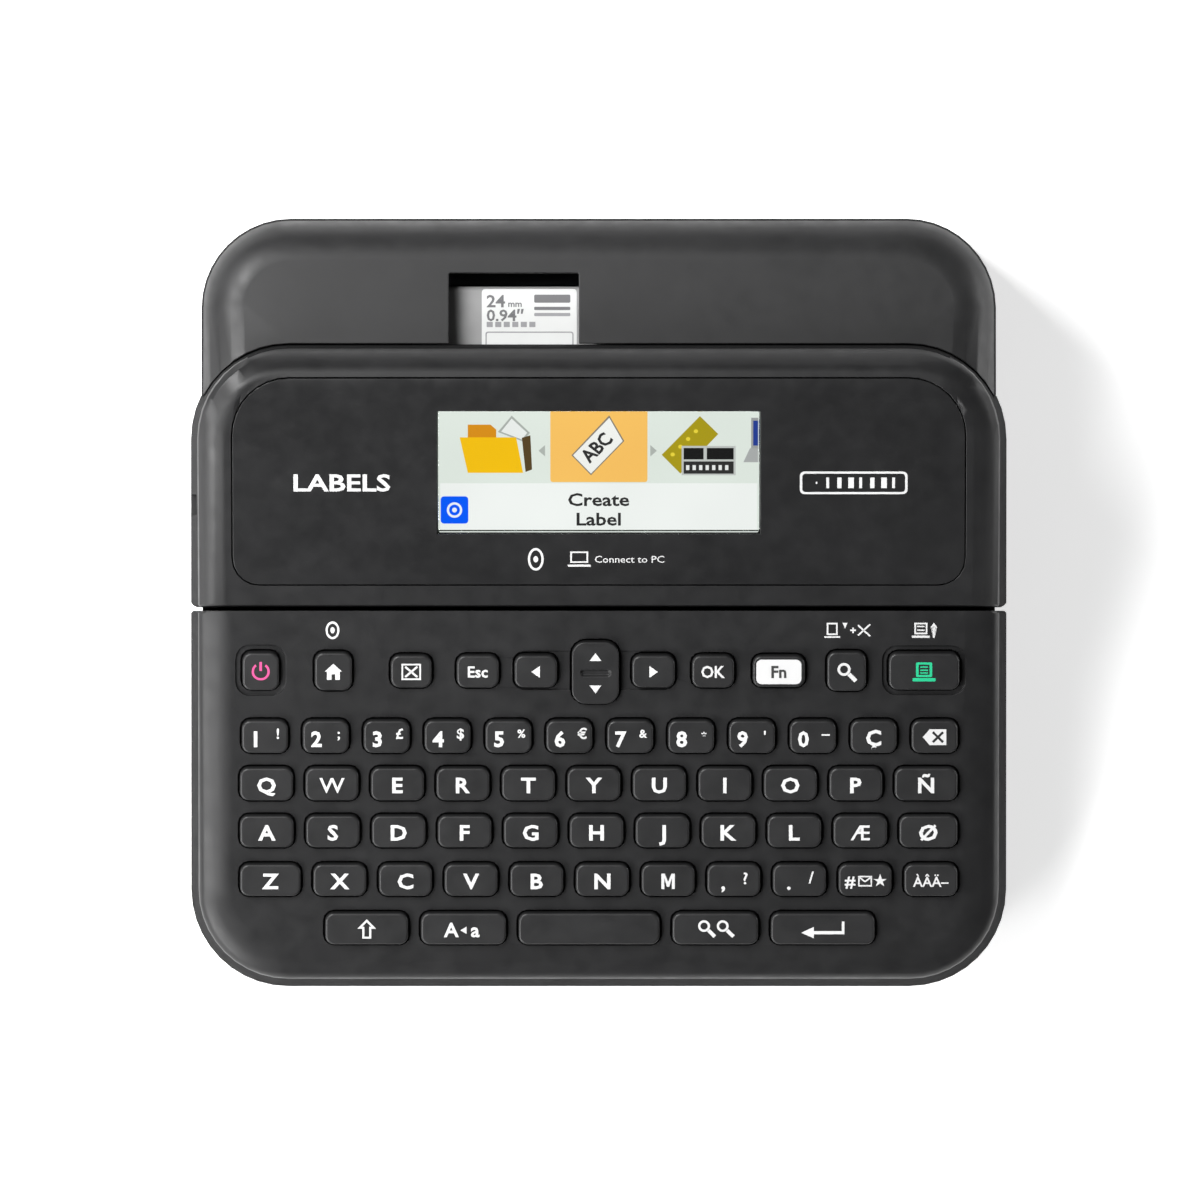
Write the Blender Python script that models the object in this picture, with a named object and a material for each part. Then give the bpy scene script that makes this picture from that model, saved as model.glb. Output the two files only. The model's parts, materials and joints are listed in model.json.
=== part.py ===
"""Desktop label maker: keyboard half at the front, raised display lid behind it, tape bay under the lid.

Metres, +Z up, the user stands at -Y and the tape leaves on the -X side.
All sizes below are in millimetres and are turned into metres when a mesh is made.
"""
import math

import bmesh
import bpy
from mathutils import Matrix, Vector

MM = 0.001

# Overall size
WIDTH = 201.5
DEPTH = 189.5
HEIGHT = 82.0

# Plan scale: the inside layout follows the overall size
KX = WIDTH / 201.5
KY = DEPTH / 189.5
KZ = HEIGHT / 82.0

# Shell
WALL = 2.2
CORNER_STEPS = 10
KEY_STEPS = 3
SKIN_GAP = 0.3
SKIRT_LIP = 2.85
SKIRT_DROP = 3.0
CASE_FLOOR = 3.0
FLOOR_THICK = 2.2
FRONT_CORNER = 24.0
CASE_CORNER = 22.0
PART_FRONT_Z = 14.0 * KZ
PART_REAR_Z = 33.0 * KZ
SEAM_GAP = 0.8
SEAM_Y = -1.5 * KY

# Keyboard deck
DECK_FRONT_Z = 31.0 * KZ
DECK_TILT = math.radians(13.0)
SHOULDER = 10.5
KEY_GAP = 0.5
KEY_RISE = 1.6
KEY_TRAVEL = 1.2
KEY_CORNER = 2.2
FIELD_HALF = 88.5 * KX

# Display lid
CREST_Y = 65.0 * KY
CREST_ROUND = 10.5
BEND_Y = CREST_Y - 16.0
PANEL_HALF = 90.1 * KX
PANEL_FRONT_Y = 4.6 * KY
PANEL_REAR_Y = 55.2 * KY
PANEL_THICK = 1.8
SCREEN_HALF = 39.8 * KX
SCREEN_FRONT_Y = 16.9 * KY
SCREEN_REAR_Y = 47.1 * KY

# Rear hood
HOOD_FRONT_Z = 62.0 * KZ
HOOD_FALL = math.radians(6.0)
HOOD_ROUND = 10.5
WINDOW_X0 = -36.9 * KX
WINDOW_X1 = -4.9 * KX
WINDOW_REAR_Y = 81.2 * KY

# Hinge at the back edge
HINGE_R = 3.2
PIN_R = 1.2
HINGE_Z = PART_REAR_Z + 3.0
HINGE_Y = DEPTH / 2 - HINGE_R
HINGE_X = 61.0 * KX
EAR_WIDE = 5.0
KNUCKLE_WIDE = 11.2

# Tape bay
CASSETTE_X0 = -46.0 * KX
CASSETTE_X1 = 36.0 * KX
CASSETTE_Y0 = 24.0 * KY
CASSETTE_Y1 = 78.0 * KY
BAY_FLOOR = 24.0 * KZ
BAY_THICK = 2.0
CASSETTE_TALL = 30.0 * KZ
PLATEN_R = 5.6
SHAFT_R = 1.5
GEAR_MODULE = 1.0
PLATEN_TEETH = 16
IDLER_TEETH = 24
PINION_TEETH = 10
GEAR_THICK = 4.0
MOTOR_R = 9.0
CUTTER_OPEN = math.radians(18.0)

FLAT_Y = DEPTH / 2


def part_z(y):
    """Height of the sloping line where the lower case meets the upper shells."""
    return PART_FRONT_Z + (PART_REAR_Z - PART_FRONT_Z) * (y + FLAT_Y) / DEPTH


def deck_z(y):
    """Height of the keyboard deck."""
    return DECK_FRONT_Z + (y + FLAT_Y - 1.95) * math.tan(DECK_TILT)


LID_FRONT_Y = SEAM_Y + SEAM_GAP / 2
DECK_REAR_Y = SEAM_Y - SEAM_GAP / 2


def lid_tilt():
    """Tilt of the display face that puts the top of the rounded crest at the overall height."""
    tilt = math.radians(30.0)
    for _ in range(30):
        rise = HEIGHT - deck_z(SEAM_Y) - CREST_ROUND * (1.0 - math.cos(tilt))
        tilt = math.atan(rise / (BEND_Y - LID_FRONT_Y))
    return tilt


LID_TILT = lid_tilt()
PEAK_Y = BEND_Y + CREST_ROUND * math.sin(LID_TILT)


def lid_z(y):
    """Height of the display face: a slope that bends over a round crest at the back."""
    if y <= BEND_Y:
        return deck_z(SEAM_Y) + (y - LID_FRONT_Y) * math.tan(LID_TILT)
    across = min(y - PEAK_Y, CREST_ROUND * 0.98)
    return HEIGHT - CREST_ROUND + math.sqrt(CREST_ROUND ** 2 - across ** 2)


def hood_z(y):
    """Height of the hood behind the display."""
    return HOOD_FRONT_Z - (y - CREST_Y) * math.tan(HOOD_FALL)


def clear_scene():
    """Take everything out of the scene."""
    for item in list(bpy.data.objects):
        bpy.data.objects.remove(item, do_unlink=True)


def make_material(name, colour, roughness, metallic=0.0):
    """Plain surface for one piece."""
    material = bpy.data.materials.new(name)
    material.use_nodes = True
    shader = material.node_tree.nodes["Principled BSDF"]
    shader.inputs["Base Color"].default_value = (colour[0], colour[1], colour[2], 1.0)
    shader.inputs["Roughness"].default_value = roughness
    shader.inputs["Metallic"].default_value = metallic
    material.diffuse_color = (colour[0], colour[1], colour[2], 1.0)
    return material


def outline(half, front, rear, r_front, r_rear, n_front, n_rear):
    """Rounded rectangle in plan, anticlockwise from the front right corner."""
    corners = (
        (half - r_front, front + r_front, r_front, -90.0, n_front),
        (half - r_rear, rear - r_rear, r_rear, 0.0, n_rear),
        (r_rear - half, rear - r_rear, r_rear, 90.0, n_rear),
        (r_front - half, front + r_front, r_front, 180.0, n_front),
    )
    points = []
    for cx, cy, radius, start, steps in corners:
        for step in range(steps + 1):
            angle = math.radians(start + 90.0 * step / steps)
            points.append((cx + radius * math.cos(angle), cy + radius * math.sin(angle)))
    return points


def raised(points, height):
    """Lift plan points to a height given as a number or as a function of y."""
    if callable(height):
        return [Vector((x, y, height(y))) for x, y in points]
    return [Vector((x, y, height)) for x, y in points]


def circle(radius, steps, cx=0.0, cy=0.0):
    """Points of a circle."""
    turn = 2.0 * math.pi / steps
    return [(cx + radius * math.cos(turn * i), cy + radius * math.sin(turn * i)) for i in range(steps)]


def loft(bm, rings, matrix=None):
    """Closed skin through rings of points given from the bottom up."""
    rows = []
    for ring in rings:
        row = []
        for point in ring:
            place = Vector(point)
            if matrix is not None:
                place = matrix @ place
            row.append(bm.verts.new(place * MM))
        rows.append(row)
    count = len(rows[0])
    for low, high in zip(rows[:-1], rows[1:]):
        for i in range(count):
            j = (i + 1) % count
            bm.faces.new((low[i], low[j], high[j], high[i]))
    bm.faces.new(list(reversed(rows[0])))
    bm.faces.new(rows[-1])


def prism(bm, points, z0, z1, matrix=None):
    """Straight block on a plan outline."""
    loft(bm, [raised(points, z0), raised(points, z1)], matrix)


def block(bm, x0, x1, y0, y1, z0, z1, matrix=None):
    """Rectangular block."""
    prism(bm, [(x0, y0), (x1, y0), (x1, y1), (x0, y1)], z0, z1, matrix)


def rod_along_x(bm, x0, x1, y, z, radius, steps):
    """Round bar lying across the object."""
    matrix = Matrix.Translation((x0, y, z)) @ Matrix.Rotation(math.radians(90.0), 4, "Y")
    prism(bm, circle(radius, steps), 0.0, x1 - x0, matrix)


def finish_mesh(name, bm, origin=(0.0, 0.0, 0.0), smooth=True):
    """Turn a mesh into an object whose origin sits at a given place."""
    bmesh.ops.recalc_face_normals(bm, faces=bm.faces)
    place = Vector(origin) * MM
    bmesh.ops.translate(bm, vec=-place, verts=bm.verts)
    mesh = bpy.data.meshes.new(name)
    bm.to_mesh(mesh)
    bm.free()
    if smooth:
        mesh.shade_smooth()
        mesh.set_sharp_from_angle(angle=math.radians(32.0))
    item = bpy.data.objects.new(name, mesh)
    item.location = place
    bpy.context.scene.collection.objects.link(item)
    return item


def helper(name, bm):
    """Hidden shape used by a Boolean."""
    item = finish_mesh(name, bm, smooth=False)
    item.hide_render = True
    item.display_type = "WIRE"
    return item


def combine(target, other, operation):
    """Cut or join a hidden shape."""
    modifier = target.modifiers.new(operation.lower(), "BOOLEAN")
    modifier.operation = operation
    modifier.solver = "EXACT"
    modifier.object = other


def paint(item, colour, roughness, metallic=0.0):
    """Give one piece its own surface."""
    item.data.materials.append(make_material(item.name + "_surface", colour, roughness, metallic))


def empty(name, location, tilt=0.0):
    """Frame that pieces hang on."""
    item = bpy.data.objects.new(name, None)
    item.location = Vector(location) * MM
    item.rotation_euler = (tilt, 0.0, 0.0)
    item.empty_display_size = 0.01
    bpy.context.scene.collection.objects.link(item)
    return item


def hang(item, parent):
    """Parent a piece without moving it."""
    bpy.context.view_layer.update()
    item.parent = parent
    item.matrix_parent_inverse = parent.matrix_world.inverted()


DECK_MATRIX = Matrix.Translation((0.0, SEAM_Y, deck_z(SEAM_Y))) @ Matrix.Rotation(DECK_TILT, 4, "X")
LID_MATRIX = Matrix.Translation((0.0, LID_FRONT_Y, lid_z(LID_FRONT_Y))) @ Matrix.Rotation(LID_TILT, 4, "X")


def on_deck(y):
    """Distance along the deck slope for a plan distance y."""
    return (y - SEAM_Y) / math.cos(DECK_TILT)


def on_lid(y):
    """Distance along the display slope for a plan distance y."""
    return (y - LID_FRONT_Y) / math.cos(LID_TILT)


# ---------------------------------------------------------------- shell solids

def case_outline(grow):
    """Plan of the lower case, made larger or smaller by grow."""
    half = WIDTH / 2 - SKIRT_LIP + grow
    front = -FLAT_Y + SKIRT_LIP - grow
    rear = FLAT_Y + grow
    radius = CASE_CORNER + grow
    return outline(half, front, rear, radius, radius, CORNER_STEPS, CORNER_STEPS)


def case_keepout(name):
    """Room the upper shells leave for the lower case, a little larger than the case itself."""
    bm = bmesh.new()
    points = case_outline(SKIN_GAP)
    loft(bm, [raised(points, -5.0), raised(points, lambda y: part_z(y) + 0.5)])
    return helper(name, bm)


def deck_rings(grow):
    """Skin of the keyboard half from the skirt up over the rounded shoulder."""
    steps = ((0.0, 0.0), (2.0, -3.2), (2.4, -2.2), (3.6, -1.2), (6.5, -0.4), (SHOULDER, 0.0))
    rings = []
    for index, (inset, drop) in enumerate(steps):
        inset = inset - grow
        rear = DECK_REAR_Y + min(grow, 0.0)
        plan = outline(WIDTH / 2 - inset, -FLAT_Y + inset, rear, FRONT_CORNER - inset, 0.5, CORNER_STEPS, 1)
        if index == 0:
            rings.append(raised(plan, lambda y: part_z(y) - SKIRT_DROP))
        else:
            rings.append(raised(plan, lambda y, d=drop: deck_z(y) + d))
    return rings


def lid_rings(grow):
    """Skin of the display half, square at the seam and rounded at the back corners."""
    mid = (CREST_Y - 6.5 + PEAK_Y) / 2
    steps = ((0.0, CREST_Y, 0.0), (2.0, CREST_Y - 2.0, -3.2), (2.4, CREST_Y - 2.4, -2.2),
             (3.6, CREST_Y - 3.6, -1.2), (6.5, CREST_Y - 6.5, -0.4), (8.0, mid, -0.1),
             (9.0, PEAK_Y, 0.0), (9.8, (PEAK_Y + BEND_Y) / 2, 0.0), (SHOULDER, BEND_Y, 0.0))
    rings = []
    for index, (inset, rear, drop) in enumerate(steps):
        inset = inset - grow
        front = LID_FRONT_Y - grow + 0.12 * index
        plan = outline(WIDTH / 2 - inset, front, rear + grow, 0.5,
                       FRONT_CORNER + 0.5 - inset, 1, CORNER_STEPS)
        if index == 0:
            rings.append(raised(plan, lambda y: part_z(y) - SKIRT_DROP - grow))
        else:
            rings.append(raised(plan, lambda y, d=drop: lid_z(y) + d + grow))
    return rings


def hood_rings(inside):
    """Skin of the hood: straight walls and a rounded top edge."""
    half = WIDTH / 2 - SKIRT_LIP - inside
    radius = HOOD_ROUND - inside
    front = 30.0 * KY
    rings = []
    plan = outline(half, front, FLAT_Y - inside, 0.5, CASE_CORNER - inside, 1, CORNER_STEPS)
    rings.append(raised(plan, lambda y: part_z(y) - 2.0 - inside))
    for step in range(6):
        angle = math.radians(18.0 * step)
        inset = radius * (1.0 - math.cos(angle))
        drop = radius * (1.0 - math.sin(angle)) + inside
        plan = outline(half - inset, front, FLAT_Y - inside - inset, 0.5,
                       CASE_CORNER - inside - inset, 1, CORNER_STEPS)
        rings.append(raised(plan, lambda y, d=drop: hood_z(y) - d))
    return rings


# ---------------------------------------------------------------- keys

def key_row(y, tall, left, right, gap, widths, names):
    """Keys of one row, laid out left to right between two edges; widths are relative."""
    room = (right - left) - gap * (len(widths) - 1)
    unit = room / sum(widths)
    keys = []
    x = left
    for name, wide in zip(names, widths):
        keys.append((name, x + wide * unit / 2, y, wide * unit, tall, KEY_CORNER, KEY_STEPS))
        x += wide * unit + gap
    return keys


def number_keys():
    """Row of twelve narrow keys."""
    names = ["key_number_%d" % n for n in (1, 2, 3, 4, 5, 6, 7, 8, 9, 0)]
    names += ["key_accent", "key_backspace"]
    return key_row(-32.7 * KY, 8.3 * KY, -88.0 * KX, FIELD_HALF, 3.6 * KX, [1.0] * 12, names)


def letter_keys():
    """Three rows of eleven keys on one moulding."""
    first = key_row(-44.4 * KY, 8.3 * KY, -FIELD_HALF, FIELD_HALF, 3.0 * KX,
                    [1.0] * 10 + [1.18], ["letter_a%d" % n for n in range(11)])
    second = key_row(-56.1 * KY, 8.1 * KY, -FIELD_HALF, FIELD_HALF, 2.95 * KX,
                     [1.0] * 10 + [1.08], ["letter_b%d" % n for n in range(11)])
    third = key_row(-68.1 * KY, 8.1 * KY, -FIELD_HALF, FIELD_HALF, 3.05 * KX,
                    [1.14] + [1.0] * 10, ["letter_c%d" % n for n in range(11)])
    return first + second + third


def bottom_keys():
    """Shift, caps, space, symbol and enter."""
    names = ["key_shift", "key_caps", "key_space", "key_symbol", "key_enter"]
    widths = [20.5, 21.0, 34.8, 21.2, 25.6]
    return key_row(-80.1 * KY, 8.0 * KY, -67.5 * KX, 68.1 * KX, 3.1 * KX, widths, names)


def function_keys():
    """Top row: round, square and pill shaped keys."""
    y = -16.6 * KY
    keys = [
        ("key_power", -83.3, 9.0, 9.5, KEY_CORNER, KEY_STEPS),
        ("key_home", -65.4, 9.2, 9.6, KEY_CORNER, KEY_STEPS),
        ("key_clear", -46.2, 10.1, 8.2, KEY_CORNER, KEY_STEPS),
        ("key_escape", -29.8, 10.4, 8.2, KEY_CORNER, KEY_STEPS),
        ("key_left", -15.5, 10.5, 8.2, KEY_CORNER, KEY_STEPS),
        ("key_right", 13.5, 10.6, 8.2, KEY_CORNER, KEY_STEPS),
        ("key_ok", 28.2, 10.4, 8.2, KEY_CORNER, KEY_STEPS),
        ("key_function", 44.4, 12.9, 8.0, KEY_CORNER, KEY_STEPS),
        ("key_preview", 61.1, 9.6, 9.9, KEY_CORNER, KEY_STEPS),
        ("key_print", 80.2, 17.4, 9.3, KEY_CORNER, KEY_STEPS),
    ]
    return [(name, x * KX, y, wide * KX, tall * KY, corner * min(KX, KY), steps)
            for name, x, wide, tall, corner, steps in keys]


ROCKER = ("key_rocker", -0.8 * KX, -16.9 * KY, 11.6 * KX, 15.6 * KY, 3.4, KEY_STEPS + 1)


def key_plan(key, grow):
    """Rounded outline of one key around its own centre."""
    half_x = key[3] / 2 + grow
    half_y = key[4] / 2 + grow
    corner = min(key[5] + grow, min(half_x, half_y) - 0.05)
    return outline(half_x, -half_y, half_y, corner, corner, key[6], key[6])


def key_matrix(key):
    """Frame of one key: on the deck surface at the key's centre."""
    return DECK_MATRIX @ Matrix.Translation((key[1], on_deck(key[2]), 0.0))


def build_key(key, colour, parent):
    """One moving key: flange under the deck, cap through it, softened top edge."""
    bm = bmesh.new()
    foot = key_plan(key, 1.0)
    body = key_plan(key, 0.0)
    top = key_plan(key, -0.6)
    rings = [raised(foot, -4.2), raised(foot, -3.0), raised(body, -3.0), raised(body, KEY_RISE - 0.5),
             raised(top, KEY_RISE)]
    loft(bm, rings)
    item = finish_mesh(key[0], bm)
    item.matrix_world = Matrix.Translation(key_matrix(key).translation * MM) @ \
        Matrix.Rotation(DECK_TILT, 4, "X")
    paint(item, colour, 0.55)
    hang(item, parent)
    return item


def build_rocker(parent):
    """Up and down key: one piece that tips about its middle."""
    bm = bmesh.new()
    foot = key_plan(ROCKER, 0.9)
    body = key_plan(ROCKER, 0.0)
    top = key_plan(ROCKER, -0.6)
    rings = [raised(foot, -4.2), raised(foot, -3.1), raised(body, -3.1), raised(body, KEY_RISE - 0.5),
             raised(top, KEY_RISE)]
    loft(bm, [[p + Vector((0.0, 0.0, 3.0)) for p in ring] for ring in rings])
    item = finish_mesh(ROCKER[0], bm)
    place = key_matrix(ROCKER) @ Vector((0.0, 0.0, -3.0))
    item.matrix_world = Matrix.Translation(place * MM) @ Matrix.Rotation(DECK_TILT, 4, "X")
    paint(item, (0.050, 0.050, 0.052), 0.55)
    hang(item, parent)
    return item


def build_keypad(parent):
    """Soft moulding with the thirty-three letter keys on one web."""
    bm = bmesh.new()
    y_front = (-68.1 - 5.3) * KY
    y_rear = (-44.4 + 5.4) * KY
    block(bm, -FIELD_HALF - 1.5, FIELD_HALF + 1.5, on_deck(y_front), on_deck(y_rear), -4.4, -2.9, DECK_MATRIX)
    item = finish_mesh("letter_keypad", bm, DECK_MATRIX.translation)
    caps = bmesh.new()
    for key in letter_keys():
        rings = [raised(key_plan(key, 0.0), -3.6), raised(key_plan(key, 0.0), KEY_RISE - 0.5),
                 raised(key_plan(key, -0.6), KEY_RISE)]
        loft(caps, rings, key_matrix(key))
    combine(item, helper("keypad_caps", caps), "UNION")
    paint(item, (0.052, 0.052, 0.054), 0.6)
    hang(item, parent)


# ---------------------------------------------------------------- shells

def build_case(parent):
    """Lower case: tub with feet below, battery opening, sockets, tape slot and hinge ears."""
    bm = bmesh.new()
    low = outline(WIDTH / 2 - SKIRT_LIP - 3.0, -FLAT_Y + SKIRT_LIP + 3.0, FLAT_Y - 3.0,
                  CASE_CORNER - 3.0, CASE_CORNER - 3.0, CORNER_STEPS, CORNER_STEPS)
    mid = outline(WIDTH / 2 - SKIRT_LIP - 0.9, -FLAT_Y + SKIRT_LIP + 0.9, FLAT_Y - 0.9,
                  CASE_CORNER - 0.9, CASE_CORNER - 0.9, CORNER_STEPS, CORNER_STEPS)
    full = case_outline(0.0)
    loft(bm, [raised(low, CASE_FLOOR), raised(mid, CASE_FLOOR + 0.9), raised(full, CASE_FLOOR + 3.0),
              raised(full, part_z)])
    item = finish_mesh("lower_case", bm)

    bm = bmesh.new()
    low = outline(WIDTH / 2 - SKIRT_LIP - WALL - 2.0, -FLAT_Y + SKIRT_LIP + WALL + 2.0, FLAT_Y - WALL - 2.0,
                  CASE_CORNER - WALL - 2.0, CASE_CORNER - WALL - 2.0, CORNER_STEPS, CORNER_STEPS)
    full = case_outline(-WALL)
    loft(bm, [raised(low, CASE_FLOOR + FLOOR_THICK), raised(full, CASE_FLOOR + FLOOR_THICK + 2.0),
              raised(full, PART_REAR_Z + 20.0)])
    combine(item, helper("case_cavity", bm), "DIFFERENCE")

    bm = bmesh.new()
    block(bm, -90.0 * KX, 90.0 * KX, FLAT_Y - 10.75, FLAT_Y + 5.0, HINGE_Z - 4.6, HINGE_Z + 20.0)
    block(bm, -54.0 * KX, 54.0 * KX, -78.0 * KY, -26.0 * KY, -1.0, CASE_FLOOR + FLOOR_THICK + 1.0)
    left = -WIDTH / 2
    block(bm, left - 2.0, left + 8.0, SLOT_Y - 2.5, SLOT_Y + 2.5, BAY_FLOOR + 0.5, PART_REAR_Z + 30.0)
    right = WIDTH / 2 - SKIRT_LIP
    block(bm, right - 5.0, right + 3.0, JACK_Y - 5.4, JACK_Y + 5.4, 8.6, 19.4)
    block(bm, right - 5.0, right + 3.0, USB_Y - 6.9, USB_Y + 6.9, 8.6, 16.9)
    combine(item, helper("case_openings", bm), "DIFFERENCE")

    bm = bmesh.new()
    for side in (-1.0, 1.0):
        for shift in (-1.0, 1.0):
            centre = side * HINGE_X + shift * (KNUCKLE_WIDE / 2 + 0.4 + EAR_WIDE / 2)
            matrix = Matrix.Translation((centre - EAR_WIDE / 2, HINGE_Y, HINGE_Z)) @ \
                Matrix.Rotation(math.radians(90.0), 4, "Z") @ Matrix.Rotation(math.radians(90.0), 4, "X")
            prism(bm, ear_profile(), 0.0, EAR_WIDE, matrix)
    combine(item, helper("case_ears", bm), "UNION")

    bm = bmesh.new()
    for side in (-1.0, 1.0):
        rod_along_x(bm, side * HINGE_X - 20.0, side * HINGE_X + 20.0, HINGE_Y, HINGE_Z, PIN_R + 0.3, 12)
    combine(item, helper("case_pin_holes", bm), "DIFFERENCE")
    paint(item, (0.040, 0.040, 0.042), 0.6)
    hang(item, parent)


def ear_profile():
    """Side view of a hinge ear: round head on a stem; first axis is +Y, second is +Z."""
    points = [(-HINGE_R, -9.0), (HINGE_R, -9.0)]
    for step in range(9):
        angle = math.radians(180.0 * step / 8)
        points.append((HINGE_R * math.cos(angle), HINGE_R * math.sin(angle)))
    return points


def build_deck(parent):
    """Keyboard half of the upper shell with a hole for every key."""
    bm = bmesh.new()
    loft(bm, deck_rings(0.0))
    item = finish_mesh("keyboard_deck", bm)
    combine(item, case_keepout("deck_keepout"), "DIFFERENCE")

    bm = bmesh.new()
    rear = DECK_REAR_Y - WALL
    plans = []
    for inset in (2.55, 4.9, 8.0):
        plans.append(outline(WIDTH / 2 - inset, -FLAT_Y + inset, rear, FRONT_CORNER - inset, 0.5,
                             CORNER_STEPS, 1))
    loft(bm, [raised(plans[0], lambda y: part_z(y) - SKIRT_DROP - 2.0),
              raised(plans[1], lambda y: deck_z(y) - 5.2),
              raised(plans[2], lambda y: deck_z(y) - WALL - 0.2)])
    combine(item, helper("deck_cavity", bm), "DIFFERENCE")

    bm = bmesh.new()
    for key in all_keys():
        prism(bm, key_plan(key, KEY_GAP), -9.0, 6.0, key_matrix(key))
    combine(item, helper("deck_key_holes", bm), "DIFFERENCE")
    paint(item, (0.042, 0.042, 0.044), 0.5)
    hang(item, parent)


def all_keys():
    """Every key of the keyboard."""
    return function_keys() + [ROCKER] + number_keys() + letter_keys() + bottom_keys()


def build_lid(parent):
    """Display half of the lid: sloping face with a recess for the panel, open underneath."""
    bm = bmesh.new()
    loft(bm, lid_rings(0.0))
    item = finish_mesh("display_housing", bm)
    combine(item, case_keepout("lid_keepout"), "DIFFERENCE")

    bm = bmesh.new()
    plans = []
    for inset, rear in ((2.55, CREST_Y - 2.55), (6.0, CREST_Y - 6.0), (8.0, PEAK_Y), (9.5, BEND_Y)):
        plans.append(outline(WIDTH / 2 - inset, LID_FRONT_Y + WALL, rear, 0.5,
                             FRONT_CORNER + 0.5 - inset, 1, CORNER_STEPS))
    loft(bm, [raised(plans[0], lambda y: part_z(y) - SKIRT_DROP - 2.0),
              raised(plans[1], lambda y: lid_z(y) - 6.5),
              raised(plans[2], lambda y: lid_z(y) - 4.4),
              raised(plans[3], lambda y: lid_z(y) - WALL - 1.6)])
    combine(item, helper("lid_cavity", bm), "DIFFERENCE")

    bm = bmesh.new()
    block(bm, -88.0 * KX, 88.0 * KX, 42.0 * KY, 75.0 * KY, 0.0, HOOD_FRONT_Z - 5.0)
    left = -WIDTH / 2
    block(bm, left - 2.0, left + 8.0, SLOT_Y - 2.5, SLOT_Y + 2.5, BAY_FLOOR + 1.5, BAY_FLOOR + CASSETTE_TALL + 2.0)
    combine(item, helper("lid_openings", bm), "DIFFERENCE")
    combine(item, panel_solid("lid_panel_recess", SKIN_GAP, -PANEL_THICK - SKIN_GAP, 15.0), "DIFFERENCE")

    bm = bmesh.new()
    block(bm, -SCREEN_HALF - 2.2, SCREEN_HALF + 2.2, on_lid(SCREEN_FRONT_Y) - 2.2, on_lid(SCREEN_REAR_Y) + 2.2,
          -6.0, 2.0, LID_MATRIX)
    combine(item, helper("lid_screen_hole", bm), "DIFFERENCE")

    bm = bmesh.new()
    tip = Vector((0.0, LID_FRONT_Y, HINGE_Z + 2.0))
    loft(bm, [[Vector((-WIDTH, tip.y - 8.0, -10.0)), Vector((WIDTH, tip.y - 8.0, -10.0)),
               Vector((WIDTH, tip.y + 3.4, -10.0)), Vector((-WIDTH, tip.y + 3.4, -10.0))],
              [Vector((-WIDTH, tip.y - 8.0, tip.z)), Vector((WIDTH, tip.y - 8.0, tip.z)),
               Vector((WIDTH, tip.y - 0.2, tip.z)), Vector((-WIDTH, tip.y - 0.2, tip.z))]])
    combine(item, helper("lid_front_relief", bm), "DIFFERENCE")
    paint(item, (0.042, 0.042, 0.044), 0.5)
    hang(item, parent)


def panel_solid(name, grow, low, high):
    """Plate on the plan of the panel that follows the display face between two heights above it."""
    bm = bmesh.new()
    plan = outline(PANEL_HALF + grow, PANEL_FRONT_Y - grow, PANEL_REAR_Y + grow, 6.5 + grow, 14.0 + grow, 5, 8)
    prism(bm, plan, 20.0, HEIGHT + 30.0)
    item = helper(name, bm)
    stations = [PANEL_FRONT_Y - 4.0] + [BEND_Y + (PANEL_REAR_Y + 2.5 - BEND_Y) * n / 6 for n in range(7)]
    profile = [(y, lid_z(y) + low) for y in stations]
    profile += [(y, lid_z(y) + high) for y in reversed(stations)]
    bm = bmesh.new()
    loft(bm, [[Vector((x, y, z)) for y, z in profile] for x in (-WIDTH, WIDTH)])
    combine(item, helper(name + "_face", bm), "INTERSECT")
    return item


def build_hood(parent):
    """Lower part of the lid behind the display, with the cassette window and hinge knuckles."""
    bm = bmesh.new()
    loft(bm, hood_rings(0.0))
    item = finish_mesh("rear_hood", bm)
    combine(item, case_keepout("hood_keepout"), "DIFFERENCE")

    bm = bmesh.new()
    loft(bm, lid_rings(SKIN_GAP))
    combine(item, helper("hood_display_room", bm), "DIFFERENCE")

    bm = bmesh.new()
    loft(bm, hood_rings(WALL))
    combine(item, helper("hood_cavity", bm), "DIFFERENCE")

    bm = bmesh.new()
    for side in (-1.0, 1.0):
        matrix_x0 = side * HINGE_X - KNUCKLE_WIDE / 2
        rod_along_x(bm, matrix_x0, matrix_x0 + KNUCKLE_WIDE, HINGE_Y, HINGE_Z, HINGE_R, 16)
    combine(item, helper("hood_knuckles", bm), "UNION")

    bm = bmesh.new()
    block(bm, WINDOW_X0, WINDOW_X1, CREST_Y - 6.0, WINDOW_REAR_Y, BAY_FLOOR + CASSETTE_TALL - 3.0, HEIGHT + 5.0)
    for side in (-1.0, 1.0):
        for shift in (-1.0, 1.0):
            centre = side * HINGE_X + shift * (KNUCKLE_WIDE / 2 + 0.4 + EAR_WIDE / 2)
            half = EAR_WIDE / 2 + 0.4
            block(bm, centre - half, centre + half, HINGE_Y - 8.0, FLAT_Y + 3.0, HINGE_Z - 15.0,
                  HINGE_Z + HINGE_R + 0.6)
    combine(item, helper("hood_openings", bm), "DIFFERENCE")

    bm = bmesh.new()
    for side in (-1.0, 1.0):
        rod_along_x(bm, side * HINGE_X - 20.0, side * HINGE_X + 20.0, HINGE_Y, HINGE_Z, PIN_R + 0.3, 12)
    combine(item, helper("hood_pin_holes", bm), "DIFFERENCE")
    paint(item, (0.060, 0.060, 0.062), 0.5)
    hang(item, parent)


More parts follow.
